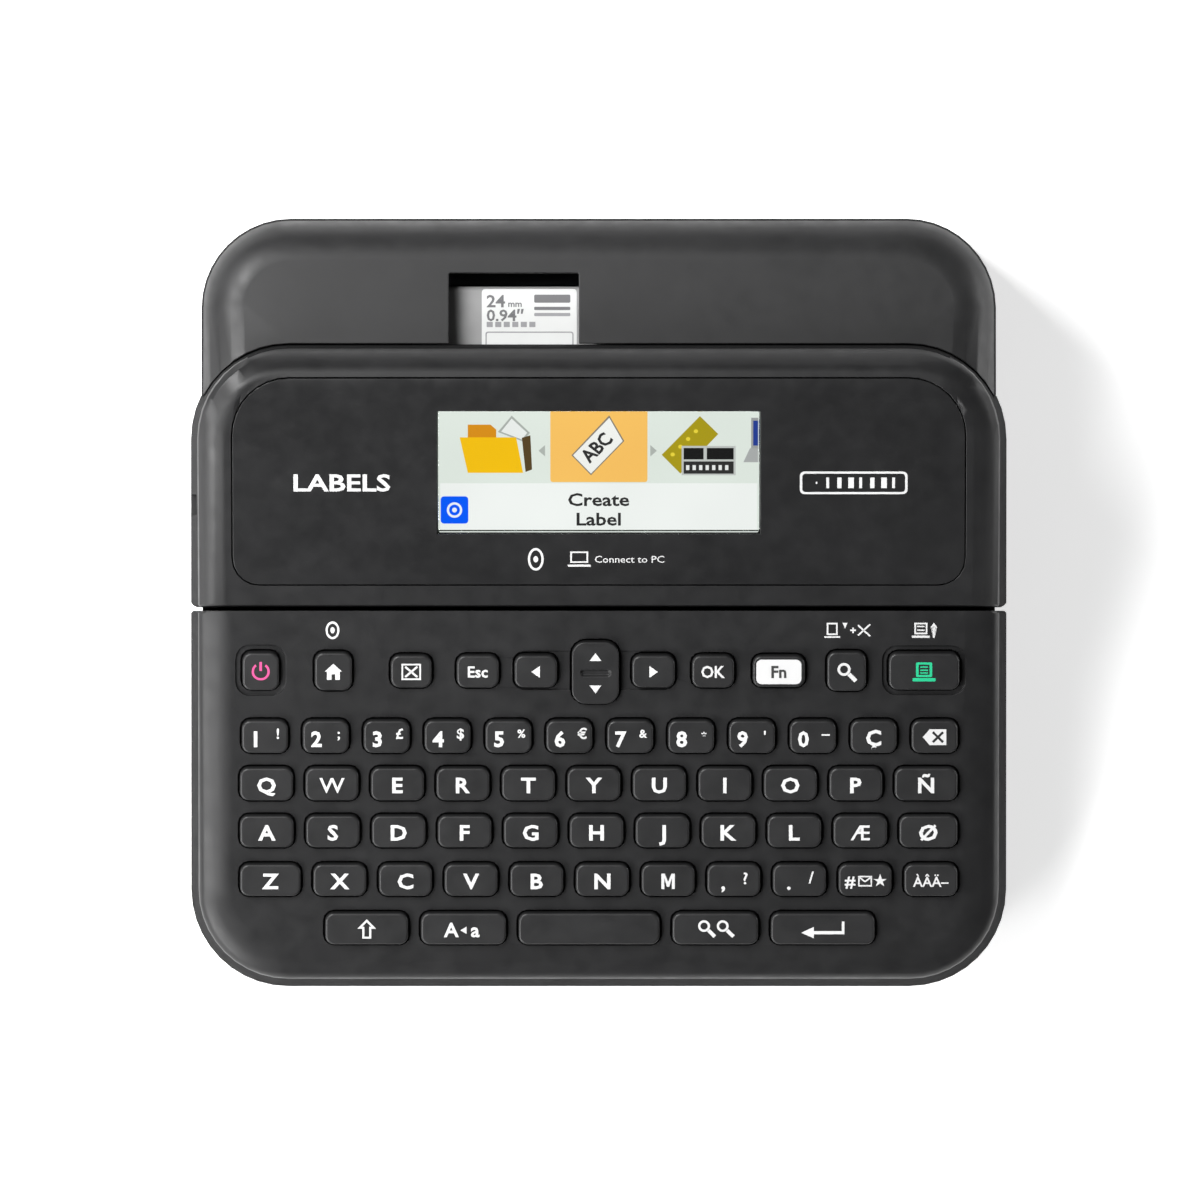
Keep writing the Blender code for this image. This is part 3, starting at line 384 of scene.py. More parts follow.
def shell(node, name, edge, cutters=()):
    """Finished copy of a moulded shell: joined up, cut, with softened edges."""
    item = bpy.data.objects.new(name, frame["nodes"][node].data.copy())
    item.data.name = name
    bpy.context.scene.collection.objects.link(item)
    edit(item)
    bpy.ops.mesh.select_all(action="SELECT")
    bpy.ops.mesh.remove_doubles(threshold=1e-6)
    done()
    for cutter in cutters:
        work(item, "cut", "BOOLEAN", operation="DIFFERENCE", solver="EXACT", object=cutter)
        bpy.data.objects.remove(cutter)
    edit(item)
    bpy.ops.mesh.select_all(action="SELECT")
    bpy.ops.mesh.dissolve_limited(angle_limit=math.radians(0.05))
    bpy.ops.mesh.quads_convert_to_tris(ngon_method="BEAUTY")
    bpy.ops.mesh.select_all(action="SELECT")
    bpy.ops.mesh.beautify_fill(angle_limit=math.radians(0.5))
    done()
    work(item, "softened edges", "BEVEL", width=edge * MM, segments=2, limit_method="ANGLE",
         angle_limit=math.radians(32.0), use_clamp_overlap=False, miter_outer="MITER_ARC",
         face_strength_mode="FSTR_AFFECTED")
    return smooth(item, 40.0)


def give(item, body, slot, *nodes):
    """Let a finished piece ride on its body and stand for its nodes. The slot argument is not used."""
    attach(item, body)
    if nodes:
        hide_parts(*nodes)
    return item


def deck_frame():
    """Frame on the keyboard face: x across, y up the slope, z out of the face."""
    s = bpy.context.scene.label_slopes
    return Matrix.Translation((0.0, s.deck_rear, s.seam_height)) @ Matrix.Rotation(s.deck_tilt, 4, "X")


def lid_frame():
    """Frame on the display face."""
    s = bpy.context.scene.label_slopes
    return Matrix.Translation((0.0, s.lid_front, s.seam_height)) @ Matrix.Rotation(s.lid_tilt, 4, "X")


def up_deck(y):
    """Distance up the deck slope, in millimetres, of a level distance y."""
    s = bpy.context.scene.label_slopes
    return (y - s.deck_rear / MM) / math.cos(s.deck_tilt)


def up_lid(y):
    """Distance up the display slope, in millimetres, of a level distance y."""
    s = bpy.context.scene.label_slopes
    return (y - s.lid_front / MM) / math.cos(s.lid_tilt)


def key_box(node):
    """Centre across, level centre, width and length of a key cap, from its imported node."""
    low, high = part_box(node)
    tilt = bpy.context.scene.label_slopes.deck_tilt
    flange, foot = (ROCKER_FLANGE, ROCKER_FOOT) if node == "key_rocker" else (CAP_FLANGE, CAP_FOOT)
    wide = (high.x - low.x) / MM - 2 * flange
    deep = ((high.y - low.y) / MM - (FLANGE_FOOT - foot) * math.sin(tilt)) / math.cos(tilt) - 2 * flange
    middle = (low.y + high.y) / 2 / MM - (FLANGE_FOOT + foot) / 2 * math.sin(tilt)
    return (low.x + high.x) / 2 / MM, middle, wide, deep


# ---- finishes

FINISH = {}


def nodes_of(name):
    """New material with its shader and object coordinates."""
    material = bpy.data.materials.new(name)
    material.use_nodes = True
    tree = material.node_tree
    shader = tree.nodes["Principled BSDF"]
    place = tree.nodes.new("ShaderNodeTexCoord")
    return material, tree, shader, place


def noise(tree, place, scale, detail=2.0, rough=0.5):
    """Noise pattern fixed to the piece."""
    node = tree.nodes.new("ShaderNodeTexNoise")
    node.inputs["Scale"].default_value = scale
    node.inputs["Detail"].default_value = detail
    node.inputs["Roughness"].default_value = rough
    tree.links.new(place.outputs["Object"], node.inputs["Vector"])
    return node


def ramp(tree, source, low, high, start=0.35, end=0.65):
    """Blend between two colours driven by a pattern."""
    node = tree.nodes.new("ShaderNodeValToRGB")
    node.color_ramp.elements[0].position = start
    node.color_ramp.elements[1].position = end
    node.color_ramp.elements[0].color = (*low, 1.0)
    node.color_ramp.elements[1].color = (*high, 1.0)
    tree.links.new(source.outputs["Fac"], node.inputs["Fac"])
    return node


def spread(tree, source, low, high):
    """Map a pattern to a range of values."""
    node = tree.nodes.new("ShaderNodeMapRange")
    node.inputs["From Min"].default_value = 0.3
    node.inputs["From Max"].default_value = 0.7
    node.inputs["To Min"].default_value = low
    node.inputs["To Max"].default_value = high
    tree.links.new(source.outputs["Fac"], node.inputs["Value"])
    return node


def plastic(name, colour, rough, grain=None, depth=0.12, vary=0.12, metal=0.0, specular=0.35):
    """Moulded plastic, rubber or metal: fine grain, faint cloudiness and uneven gloss."""
    if name in FINISH:
        return FINISH[name]
    grain = grain or bpy.context.scene.label_finish.grain
    material, tree, shader, place = nodes_of(name)
    cloud = noise(tree, place, 55.0, 3.0)
    tint = ramp(tree, cloud, [c * (1.0 - vary) for c in colour], [c * (1.0 + vary) for c in colour])
    tree.links.new(tint.outputs["Color"], shader.inputs["Base Color"])
    fine = noise(tree, place, grain, 2.0, 0.6)
    gloss = spread(tree, noise(tree, place, 210.0, 2.0), rough - 0.05, rough + 0.05)
    tree.links.new(gloss.outputs["Result"], shader.inputs["Roughness"])
    bump = tree.nodes.new("ShaderNodeBump")
    bump.inputs["Strength"].default_value = depth
    bump.inputs["Distance"].default_value = 0.00005
    tree.links.new(fine.outputs["Fac"], bump.inputs["Height"])
    tree.links.new(bump.outputs["Normal"], shader.inputs["Normal"])
    shader.inputs["Metallic"].default_value = metal
    shader.inputs["Specular IOR Level"].default_value = specular
    FINISH[name] = material
    return material


def ink(name, colour):
    """Printed ink with faint unevenness."""
    return plastic(name, colour, 0.55, 4200.0, 0.05, 0.05)


def lit(name, colour, strength=1.0):
    """Back-lit picture colour with the faint unevenness of a panel."""
    if name in FINISH:
        return FINISH[name]
    material, tree, shader, place = nodes_of(name)
    soft = noise(tree, place, 35.0, 1.0)
    tint = ramp(tree, soft, [c * 0.97 for c in colour], [min(1.0, c * 1.02) for c in colour])
    shader.inputs["Base Color"].default_value = (0.0, 0.0, 0.0, 1.0)
    shader.inputs["Roughness"].default_value = 0.4
    shader.inputs["Specular IOR Level"].default_value = 0.0
    tree.links.new(tint.outputs["Color"], shader.inputs["Emission Color"])
    shader.inputs["Emission Strength"].default_value = strength
    FINISH[name] = material
    return material


def clear_cover():
    """Clear hard cover with a slight smear in its gloss."""
    material, tree, shader, place = nodes_of("clear cover")
    smear = spread(tree, noise(tree, place, 90.0, 3.0), 0.02, 0.07)
    tree.links.new(smear.outputs["Result"], shader.inputs["Roughness"])
    shader.inputs["Base Color"].default_value = (0.98, 1.0, 0.99, 1.0)
    shader.inputs["Transmission Weight"].default_value = 1.0
    shader.inputs["IOR"].default_value = 1.33
    return material


def key_plastic():
    """Finish of the key caps."""
    return plastic("key plastic", bpy.context.scene.label_finish.key_colour, 0.42, 3000.0, 0.08)


def white_ink():
    """Finish of the white legends."""
    return ink("white ink", bpy.context.scene.label_finish.ink_colour)


# ---- key caps and legends

def flanged(name, wide, deep, foot, flange, corner, steps):
    """Plain cap standing on its flange."""
    cap = slab(name, wide, deep, -foot, bpy.context.scene.label_keys.rise, corner, steps)
    edit(cap)
    pick(cap, "FACE", lambda middle, normal: normal.z < -0.9)
    bpy.ops.mesh.extrude_region_move(TRANSFORM_OT_translate={"value": (0.0, 0.0, 0.0)})
    bpy.ops.transform.resize(value=((wide + 2 * flange) / wide, (deep + 2 * flange) / deep, 1.0))
    bpy.ops.mesh.extrude_region_move(TRANSFORM_OT_translate={"value": (0.0, 0.0, foot - FLANGE_FOOT)})
    done()
    return cap


def blank_cap():
    """Key cap that the others are stretched from."""
    k = bpy.context.scene.label_keys
    cap = flanged("blank_cap", BLANK_WIDE, BLANK_DEEP, CAP_FOOT, CAP_FLANGE, k.corner, 6)
    return soften_top(cap, k.rise, k.soften, 4)


def mark_heights():
    """Lowest and highest level of a legend on a cap."""
    k = bpy.context.scene.label_keys
    return k.rise - 0.01, k.rise + k.ink


def mark(loops, material):
    """Printed outlines on a cap."""
    low, high = mark_heights()
    return coat(shape("mark", loops, low, high), material)


def text(body, cap, x, y, material, bold=0.035, wide=1.0):
    """Printed characters on a cap."""
    low, high = mark_heights()
    return coat(words("legend", body, cap, x, y, low, high, bold, wide), material)


def capital_m(half):
    """Outline of a bold capital M."""
    left = [(-0.85, -1.0), (-0.85, 1.0), (-0.42, 1.0), (0.0, -0.1)]
    inner = [(-0.15, -0.72), (-0.48, 0.42), (-0.48, -1.0)]
    loop = left + [(-x, y) for x, y in reversed(left[:3])] + [(-x, y) for x, y in reversed(inner)] + inner
    return [(x * half, y * half - 0.2) for x, y in loop]


def magnifier(x, y, size):
    """Outlines of a magnifying glass."""
    return shifted([disc_loop(-0.6, 0.6, 1.55), disc_loop(-0.6, 0.6, 0.95),
                    bar_loop(0.55, -0.55, 2.2, -2.2, 0.95)], x, y, size)


def make_cap(blank, name, x, y, wide, deep, legends):
    """One finished cap with its legends, in place on the deck."""
    cap = stretch(twin(blank, name), wide - BLANK_WIDE, deep - BLANK_DEEP)
    cap = join([smooth(coat(cap, key_plastic()), 50.0)] + legends, name)
    place = deck_frame() @ Matrix.Translation((x * MM, up_deck(y) * MM, 0.0))
    return settle(cap, place)


def make_keys(table):
    """Finish a group of keys; the table gives each node the legends on it."""
    blank = blank_cap()
    for node, legends in table:
        x, y, wide, deep = key_box(node)
        cap = make_cap(blank, node + "_cap", x, y, wide, deep, legends())
        give(cap, node, "key_plastic", node)
    bpy.data.objects.remove(blank)


class LABELMAKER_OT_function_keys(bpy.types.Operator):
    """Make the top row of keys"""

    bl_idname = "labelmaker.function_keys"
    bl_label = "Function Keys"

    def execute(self, context):
        """Build every key of the row with its mark."""
        f = context.scene.label_finish
        white = white_ink()
        pink = ink("power ink", f.power_colour)
        green = ink("print ink", f.print_colour)
        dark = ink("dark ink", (0.03, 0.03, 0.03))
        house = [[(-2.1, 0.1), (0.0, 2.05), (2.1, 0.1), (1.6, 0.1), (1.6, -2.0), (0.45, -2.0), (0.45, -0.6),
                  (-0.45, -0.6), (-0.45, -2.0), (-1.6, -2.0), (-1.6, 0.1)]]
        crossed = [box_loop(-2.4, -2.05, 2.4, 2.05), box_loop(-2.0, -1.65, 2.0, 1.65)]
        pages = [round_loop(-2.0, -1.3, 2.0, 2.4, 0.3, 2), box_loop(-1.35, -0.75, 1.35, 1.85),
                 box_loop(-0.95, 1.05, 0.95, 1.4), box_loop(-0.95, 0.25, 0.95, 0.6),
                 box_loop(-0.95, -0.45, 0.95, -0.1), round_loop(-2.85, -2.4, 2.85, -1.55, 0.25, 2)]
        make_keys([
            ("key_power", lambda: [text("⏻", 3.75, 0.0, 0.0, pink, 0.01)]),
            ("key_home", lambda: [mark(house, white)]),
            ("key_clear", lambda: [mark(crossed, white), mark([bar_loop(-1.5, -1.3, 1.5, 1.3, 0.5)], white),
                                   mark([bar_loop(-1.5, 1.3, 1.5, -1.3, 0.5)], white)]),
            ("key_escape", lambda: [text("Esc", 2.7, 0.0, 0.0, white, 0.03)]),
            ("key_left", lambda: [mark([[(1.0, 1.5), (-1.1, 0.0), (1.0, -1.5)]], white)]),
            ("key_right", lambda: [mark([[(-1.0, 1.5), (1.1, 0.0), (-1.0, -1.5)]], white)]),
            ("key_ok", lambda: [text("OK", 2.9, 0.0, 0.0, white, 0.03, 0.92)]),
            ("key_function", lambda: [mark([round_loop(-5.55, -3.1, 5.55, 3.1, 1.3, 5)], white),
                                      raised(text("Fn", 2.9, 0.0, 0.0, dark, 0.04))]),
            ("key_preview", lambda: [mark(magnifier(0.0, 0.0, 1.05), white)]),
            ("key_print", lambda: [mark(pages, green)]),
        ])
        return {"FINISHED"}


def raised(item):
    """Lift a legend that lies on another."""
    choose(item)
    item.location.z = 0.03
    bpy.ops.object.transform_apply(location=True, rotation=True, scale=True)
    return item


class LABELMAKER_OT_number_keys(bpy.types.Operator):
    """Make the row of numbers"""

    bl_idname = "labelmaker.number_keys"
    bl_label = "Number Keys"

    def execute(self, context):
        """Build the ten digits and the two keys at the right."""
        white = white_ink()
        table = []
        for digit, sign in zip("1234567890", "!;£$%€&*'–"):
            small = 2.0 if sign in "*&%" else 2.5
            lift = 0.2 if sign in "*'" else 0.9

            def legends(digit=digit, sign=sign, small=small, lift=lift):
                return [text(digit, 3.7, -2.3, -0.5, white, 0.045), text(sign, small, 3.2, lift, white, 0.03)]

            table.append(("key_number_" + digit, legends))
        table.append(("key_accent", lambda: [text("Ç", 3.8, 0.0, -0.2, white, 0.045)]))
        tag = [(-2.9, 0.0), (-1.2, 2.0), (2.9, 2.0), (2.9, -2.0), (-1.2, -2.0)]
        cross = []
        for turn in range(4):
            angle = math.radians(90.0 * turn)
            for px, py in ((0.42, 0.0), (1.5, 1.05), (1.05, 1.5)):
                cross.append((px * math.cos(angle) - py * math.sin(angle) + 0.85,
                              px * math.sin(angle) + py * math.cos(angle)))
        table.append(("key_backspace", lambda: [mark([tag, cross], white)]))
        make_keys(table)
        return {"FINISHED"}


class LABELMAKER_OT_bottom_keys(bpy.types.Operator):
    """Make the bottom row of keys"""

    bl_idname = "labelmaker.bottom_keys"
    bl_label = "Bottom Keys"

    def execute(self, context):
        """Build shift, capitals, space, symbols and enter."""
        white = white_ink()
        arrow = [(-5.3, -0.9), (-2.2, 0.55), (-2.2, -0.5), (4.7, -0.5), (4.7, 1.95), (5.35, 1.95),
                 (5.35, -1.3), (-2.2, -1.3), (-2.2, -2.35)]
        up = [[(0.0, 2.5), (2.3, 0.1), (1.1, 0.1), (1.1, -2.4), (-1.1, -2.4), (-1.1, 0.1), (-2.3, 0.1)],
              [(0.0, 1.75), (-1.15, 0.6), (-0.6, 0.6), (-0.6, -1.9), (0.6, -1.9), (0.6, 0.6), (1.15, 0.6)]]
        make_keys([
            ("key_shift", lambda: [mark(up, white)]),
            ("key_caps", lambda: [text("A", 3.5, -3.0, -0.2, white, 0.03),
                                  text("a", 3.5, 2.9, -0.2, white, 0.03),
                                  mark([[(0.75, 0.6), (-0.75, -0.3), (0.75, -1.2)]], white)]),
            ("key_space", lambda: []),
            ("key_symbol", lambda: [mark(magnifier(-2.2, 0.2, 0.95), white),
                                    mark(magnifier(2.4, 0.2, 0.95), white)]),
            ("key_enter", lambda: [mark([arrow], white)]),
        ])
        return {"FINISHED"}


class LABELMAKER_OT_letter_keys(bpy.types.Operator):
    """Make the soft moulding with the letter keys"""

    bl_idname = "labelmaker.letter_keys"
    bl_label = "Letter Keys"

    def execute(self, context):
        """Build three rows of caps and join them to their web."""
        k = context.scene.label_keys
        white = white_ink()
        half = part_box("letter_keypad")[1].x / MM - 1.5
        rows = (("QWERTYUIOPÑ", -44.4, 8.3, 3.0, [1.0] * 10 + [1.18]),
                ("ASDFGHJKLÆØ", -56.1, 8.1, 2.95, [1.0] * 10 + [1.08]),
                ("ZXCVBNM,.#Ä", -68.1, 8.1, 3.05, [1.14] + [1.0] * 10))
        second = {",": ("?", 0.6), ".": ("/", 0.8)}
        blank = blank_cap()
        caps = []
        for letters, y, deep, gap, widths in rows:
            unit = (2 * half - gap * 10) / sum(widths)
            x = -half
            for letter, width in zip(letters, widths):
                wide = width * unit
                if letter in second:
                    sign, lift = second[letter]
                    legends = [text(letter, 3.6, -2.6, -0.4, white), text(sign, 2.9, 2.9, lift, white, 0.02)]
                elif letter == "M":
                    legends = [mark([capital_m(k.letter / 2)], white)]
                elif letter == "#":
                    envelope = [box_loop(-1.7, -1.5, 1.7, 1.2), box_loop(-1.35, -1.15, 1.35, 0.85)]
                    legends = [text("#", 2.9, -3.7, -0.2, white, 0.03),
                               text("★", 2.6, 3.7, -0.1, white, 0.0), mark(envelope, white),
                               mark([bar_loop(-1.5, 0.9, 0.0, -0.3, 0.35)], white),
                               mark([bar_loop(1.5, 0.9, 0.0, -0.3, 0.35)], white)]
                elif letter == "Ä":
                    legends = [text("ÀÂÄ–", 2.5, 0.0, -0.3, white, 0.02, 0.95)]
                else:
                    lean = 1.0 if letter in "IÆ" else 1.08
                    weight = 0.015 if letter in "WÆ" else 0.04
                    legends = [text(letter, k.letter - 0.2, 0.0, -0.2, white, weight, lean)]
                caps.append(make_cap(blank, "letter_cap", x + wide / 2, y, wide, deep, legends))
                x += wide + gap
        rear, front = up_deck(-39.0), up_deck(-73.4)
        web = slab("web", 2 * half + 3.0, rear - front, -4.4, -2.9, 1.5, 3, 0.0, (rear + front) / 2)
        coat(web, key_plastic())
        caps.append(settle(web, deck_frame()))
        bpy.data.objects.remove(blank)
        give(join(caps, "letter_keys"), "base", "keypad_rubber", "letter_keypad")
        return {"FINISHED"}


class LABELMAKER_OT_rocker(bpy.types.Operator):
    """Make the up and down key"""

    bl_idname = "labelmaker.rocker"
    bl_label = "Up and Down Key"

    def execute(self, context):
        """Build the tall cap with its groove and two arrows."""
        k = context.scene.label_keys
        white = white_ink()
        x, y, wide, deep = key_box("key_rocker")
        cap = flanged("rocker_cap", wide, deep, ROCKER_FOOT, ROCKER_FLANGE, 3.4, 8)
        groove = slab("groove", 7.2, 1.5, k.rise - 0.7, k.rise + 1.0, 0.7, 5)
        work(cap, "groove", "BOOLEAN", operation="DIFFERENCE", object=groove)
        bpy.data.objects.remove(groove)
        work(cap, "softened edges", "BEVEL", width=0.45, segments=3, limit_method="ANGLE",
             angle_limit=math.radians(60.0))
        smooth(coat(cap, key_plastic()), 50.0)
        marks = [mark([[(-1.45, 3.1), (0.0, 5.1), (1.45, 3.1)]], white),
                 mark([[(-1.45, -3.1), (1.45, -3.1), (0.0, -5.1)]], white)]
        cap = join([cap] + marks, "up_down_cap")
        settle(cap, deck_frame() @ Matrix.Translation((x * MM, up_deck(y) * MM, 0.0)))
        give(cap, "key_rocker", "key_plastic", "key_rocker")
        return {"FINISHED"}


# ---- shells

def deck_cutter(x, y, wide, deep, depth, corner):
    """Solid that presses a shallow recess into the deck."""
    cutter = slab("recess", wide, deep, -depth, 3.0, corner, 6)
    return settle(cutter, deck_frame() @ Matrix.Translation((x * MM, up_deck(y) * MM, 0.0)))


class LABELMAKER_OT_shells(bpy.types.Operator):
    """Finish the moulded shells"""

    bl_idname = "labelmaker.shells"
    bl_label = "Shells"

    def execute(self, context):
        """Copy each shell, soften its edges and coat it; its upright faces take a darker, duller plastic
        whose darker colour is painted shade.
        """
        f = context.scene.label_finish
        cutters = []
        for node, extra in (("key_power", 3.4), ("key_print", 3.2)):
            x, y, wide, deep = key_box(node)
            cutters.append(deck_cutter(x, y, wide + extra, deep + extra, 0.5, 3.6))
        left, level = key_box("key_left")[:2]
        right = key_box("key_right")[0]
        cutters.append(deck_cutter((left + right) / 2, level, right - left + 11.6, 9.8, 0.35, 3.0))
        case = plastic("case plastic", f.case_colour, 0.5, 2200.0, 0.2)
        deck = plastic("deck plastic", f.deck_colour, 0.44, None, 0.14)
        hood = plastic("hood plastic", f.hood_colour, 0.46, None, 0.16)
        # Plastic for the upright faces: its darker colour is painted shade on side walls and key-hole walls;
        # its rough, low gloss is the finish.
        side = plastic("side plastic with painted shade", (0.007, 0.007, 0.0074), 0.88, 1500.0, 0.5, 0.1, 0.0, 0.08)
        panel = plastic("panel plastic", (0.011, 0.011, 0.0115), 0.33, 3200.0, 0.06)
        for node, name, edge, finish, body, slot, cuts in (
                ("lower_case", "case_tub", 0.3, case, "base", "case_plastic", ()),
                ("keyboard_deck", "deck_shell", 0.12, deck, "base", "deck_plastic", cutters),
                ("display_housing", "display_shell", 0.15, deck, "lid", "deck_plastic", ()),
                ("rear_hood", "hood_shell", 0.35, hood, "lid", "hood_plastic", ()),
                ("display_panel", "front_panel", 0.12, panel, "lid", "panel_plastic", ()),
                ("battery_cover", "battery_door", 0.4, case, "battery_cover", "case_plastic", ())):
            item = coat(shell(node, name, edge, cuts), finish, side)
            edit(item)
            # Upright faces take the darker plastic, as painted shade.
            pick(item, "FACE", lambda middle, normal: abs(normal.z) < 0.3)
            item.active_material_index = 1
            bpy.ops.object.material_slot_assign()
            done()
            give(item, body, slot, node)
        return {"FINISHED"}


# ---- printed marks on deck and panel

class LABELMAKER_OT_printed_marks(bpy.types.Operator):
    """Print the marks on the deck and the panel"""

    bl_idname = "labelmaker.printed_marks"
    bl_label = "Printed Marks"

    def execute(self, context):
        """Make the small marks above the keys and beside the screen."""
        white = white_ink()
        low, high = 0.0, context.scene.label_keys.ink
        line = 0.4
        y = up_deck(-6.7)
        oval = [disc_loop(-65.6, y, 1.7, 2.25), disc_loop(-65.6, y, 1.2, 1.7)]
        dot = [disc_loop(-65.6, y, 0.55, 0.8, 12)]
        sheet = [box_loop(56.2, y - 1.2, 58.9, y + 1.9), box_loop(56.6, y - 0.8, 58.5, y + 1.5)]
        base = [box_loop(55.6, y - 1.9, 59.5, y - 1.5)]
        arrow = [[(60.1, y + 1.9), (61.3, y + 1.9), (60.7, y + 0.4)]]
        plus = [bar_loop(62.0, y, 63.4, y, line)]
        post = [bar_loop(62.7, y - 0.7, 62.7, y - 0.22, line), bar_loop(62.7, y + 0.22, 62.7, y + 0.7, line)]
        blade_a = [bar_loop(63.9, y - 1.3, 66.9, y + 1.5, line)]
        blade_b = [bar_loop(63.9, y + 1.3, 66.9, y - 1.5, line)]
        pile = [box_loop(77.8, y - 1.0, 81.0, y + 1.9), box_loop(78.2, y - 0.6, 80.6, y + 1.5),
                box_loop(78.5, y + 0.8, 80.3, y + 1.15), box_loop(78.5, y - 0.15, 80.3, y + 0.2)]
        foot = [box_loop(77.2, y - 1.9, 81.6, y - 1.35)]
        feed = [bar_loop(82.6, y - 1.9, 82.6, y + 0.9, line),
                [(81.8, y + 0.8), (83.4, y + 0.8), (82.6, y + 1.9)]]
        marks = [coat(shape("mark", loops, low, high), white)
                 for loops in (oval, dot, sheet, base, arrow, plus, post, blade_a, blade_b, pile, foot, feed)]
        give(settle(join(marks, "deck_marks"), deck_frame()), "base", "deck_plastic")

        y = up_lid(29.6)
        items = [words("legend", "LABELS", 4.6, -63.2, y, low, high, 0.03, 1.15)]

        def draw(*loops):
            items.append(shape("mark", loops, low, high))

        draw(round_loop(49.5, y - 3.2, 76.0, y + 3.2, 1.2, 4),
             round_loop(50.1, y - 2.6, 75.4, y + 2.6, 0.8, 4))
        draw(box_loop(53.4, y - 0.3, 53.8, y + 0.3))
        for n in range(7):
            x = 56.0 + 2.7 * n
            draw(box_loop(x, y - 1.5, x + 0.7 + 0.35 * (n % 3), y + 1.5))
        y = up_lid(10.8)
        draw(disc_loop(-15.5, y, 1.95, 3.2), disc_loop(-15.5, y, 1.4, 2.55))
        draw(disc_loop(-15.5, y, 0.6, 0.9, 12))
        draw(box_loop(-7.0, y - 1.0, -2.6, y + 2.2), box_loop(-6.6, y - 0.6, -3.0, y + 1.8))
        draw(box_loop(-7.6, y - 2.1, -2.0, y - 1.5))
        items.append(words("legend", "Connect to PC", 1.9, 7.6, y, low, high, 0.0, 1.02))
        for item in items:
            coat(item, white)
        give(settle(join(items, "panel_marks"), lid_frame()), "lid", "panel_plastic")
        return {"FINISHED"}


# ---- screen

def screen_scale():
    """Middle of the screen up the slope, and the slope's stretch."""
    return up_lid(SCREEN_MIDDLE), 1.0 / math.cos(bpy.context.scene.label_slopes.lid_tilt)


def on_screen(loops):
    """Level outlines round the middle of the screen, laid on the slope."""
    middle, steep = screen_scale()
    return [[(x, middle + y * steep) for x, y in loop] for loop in loops]


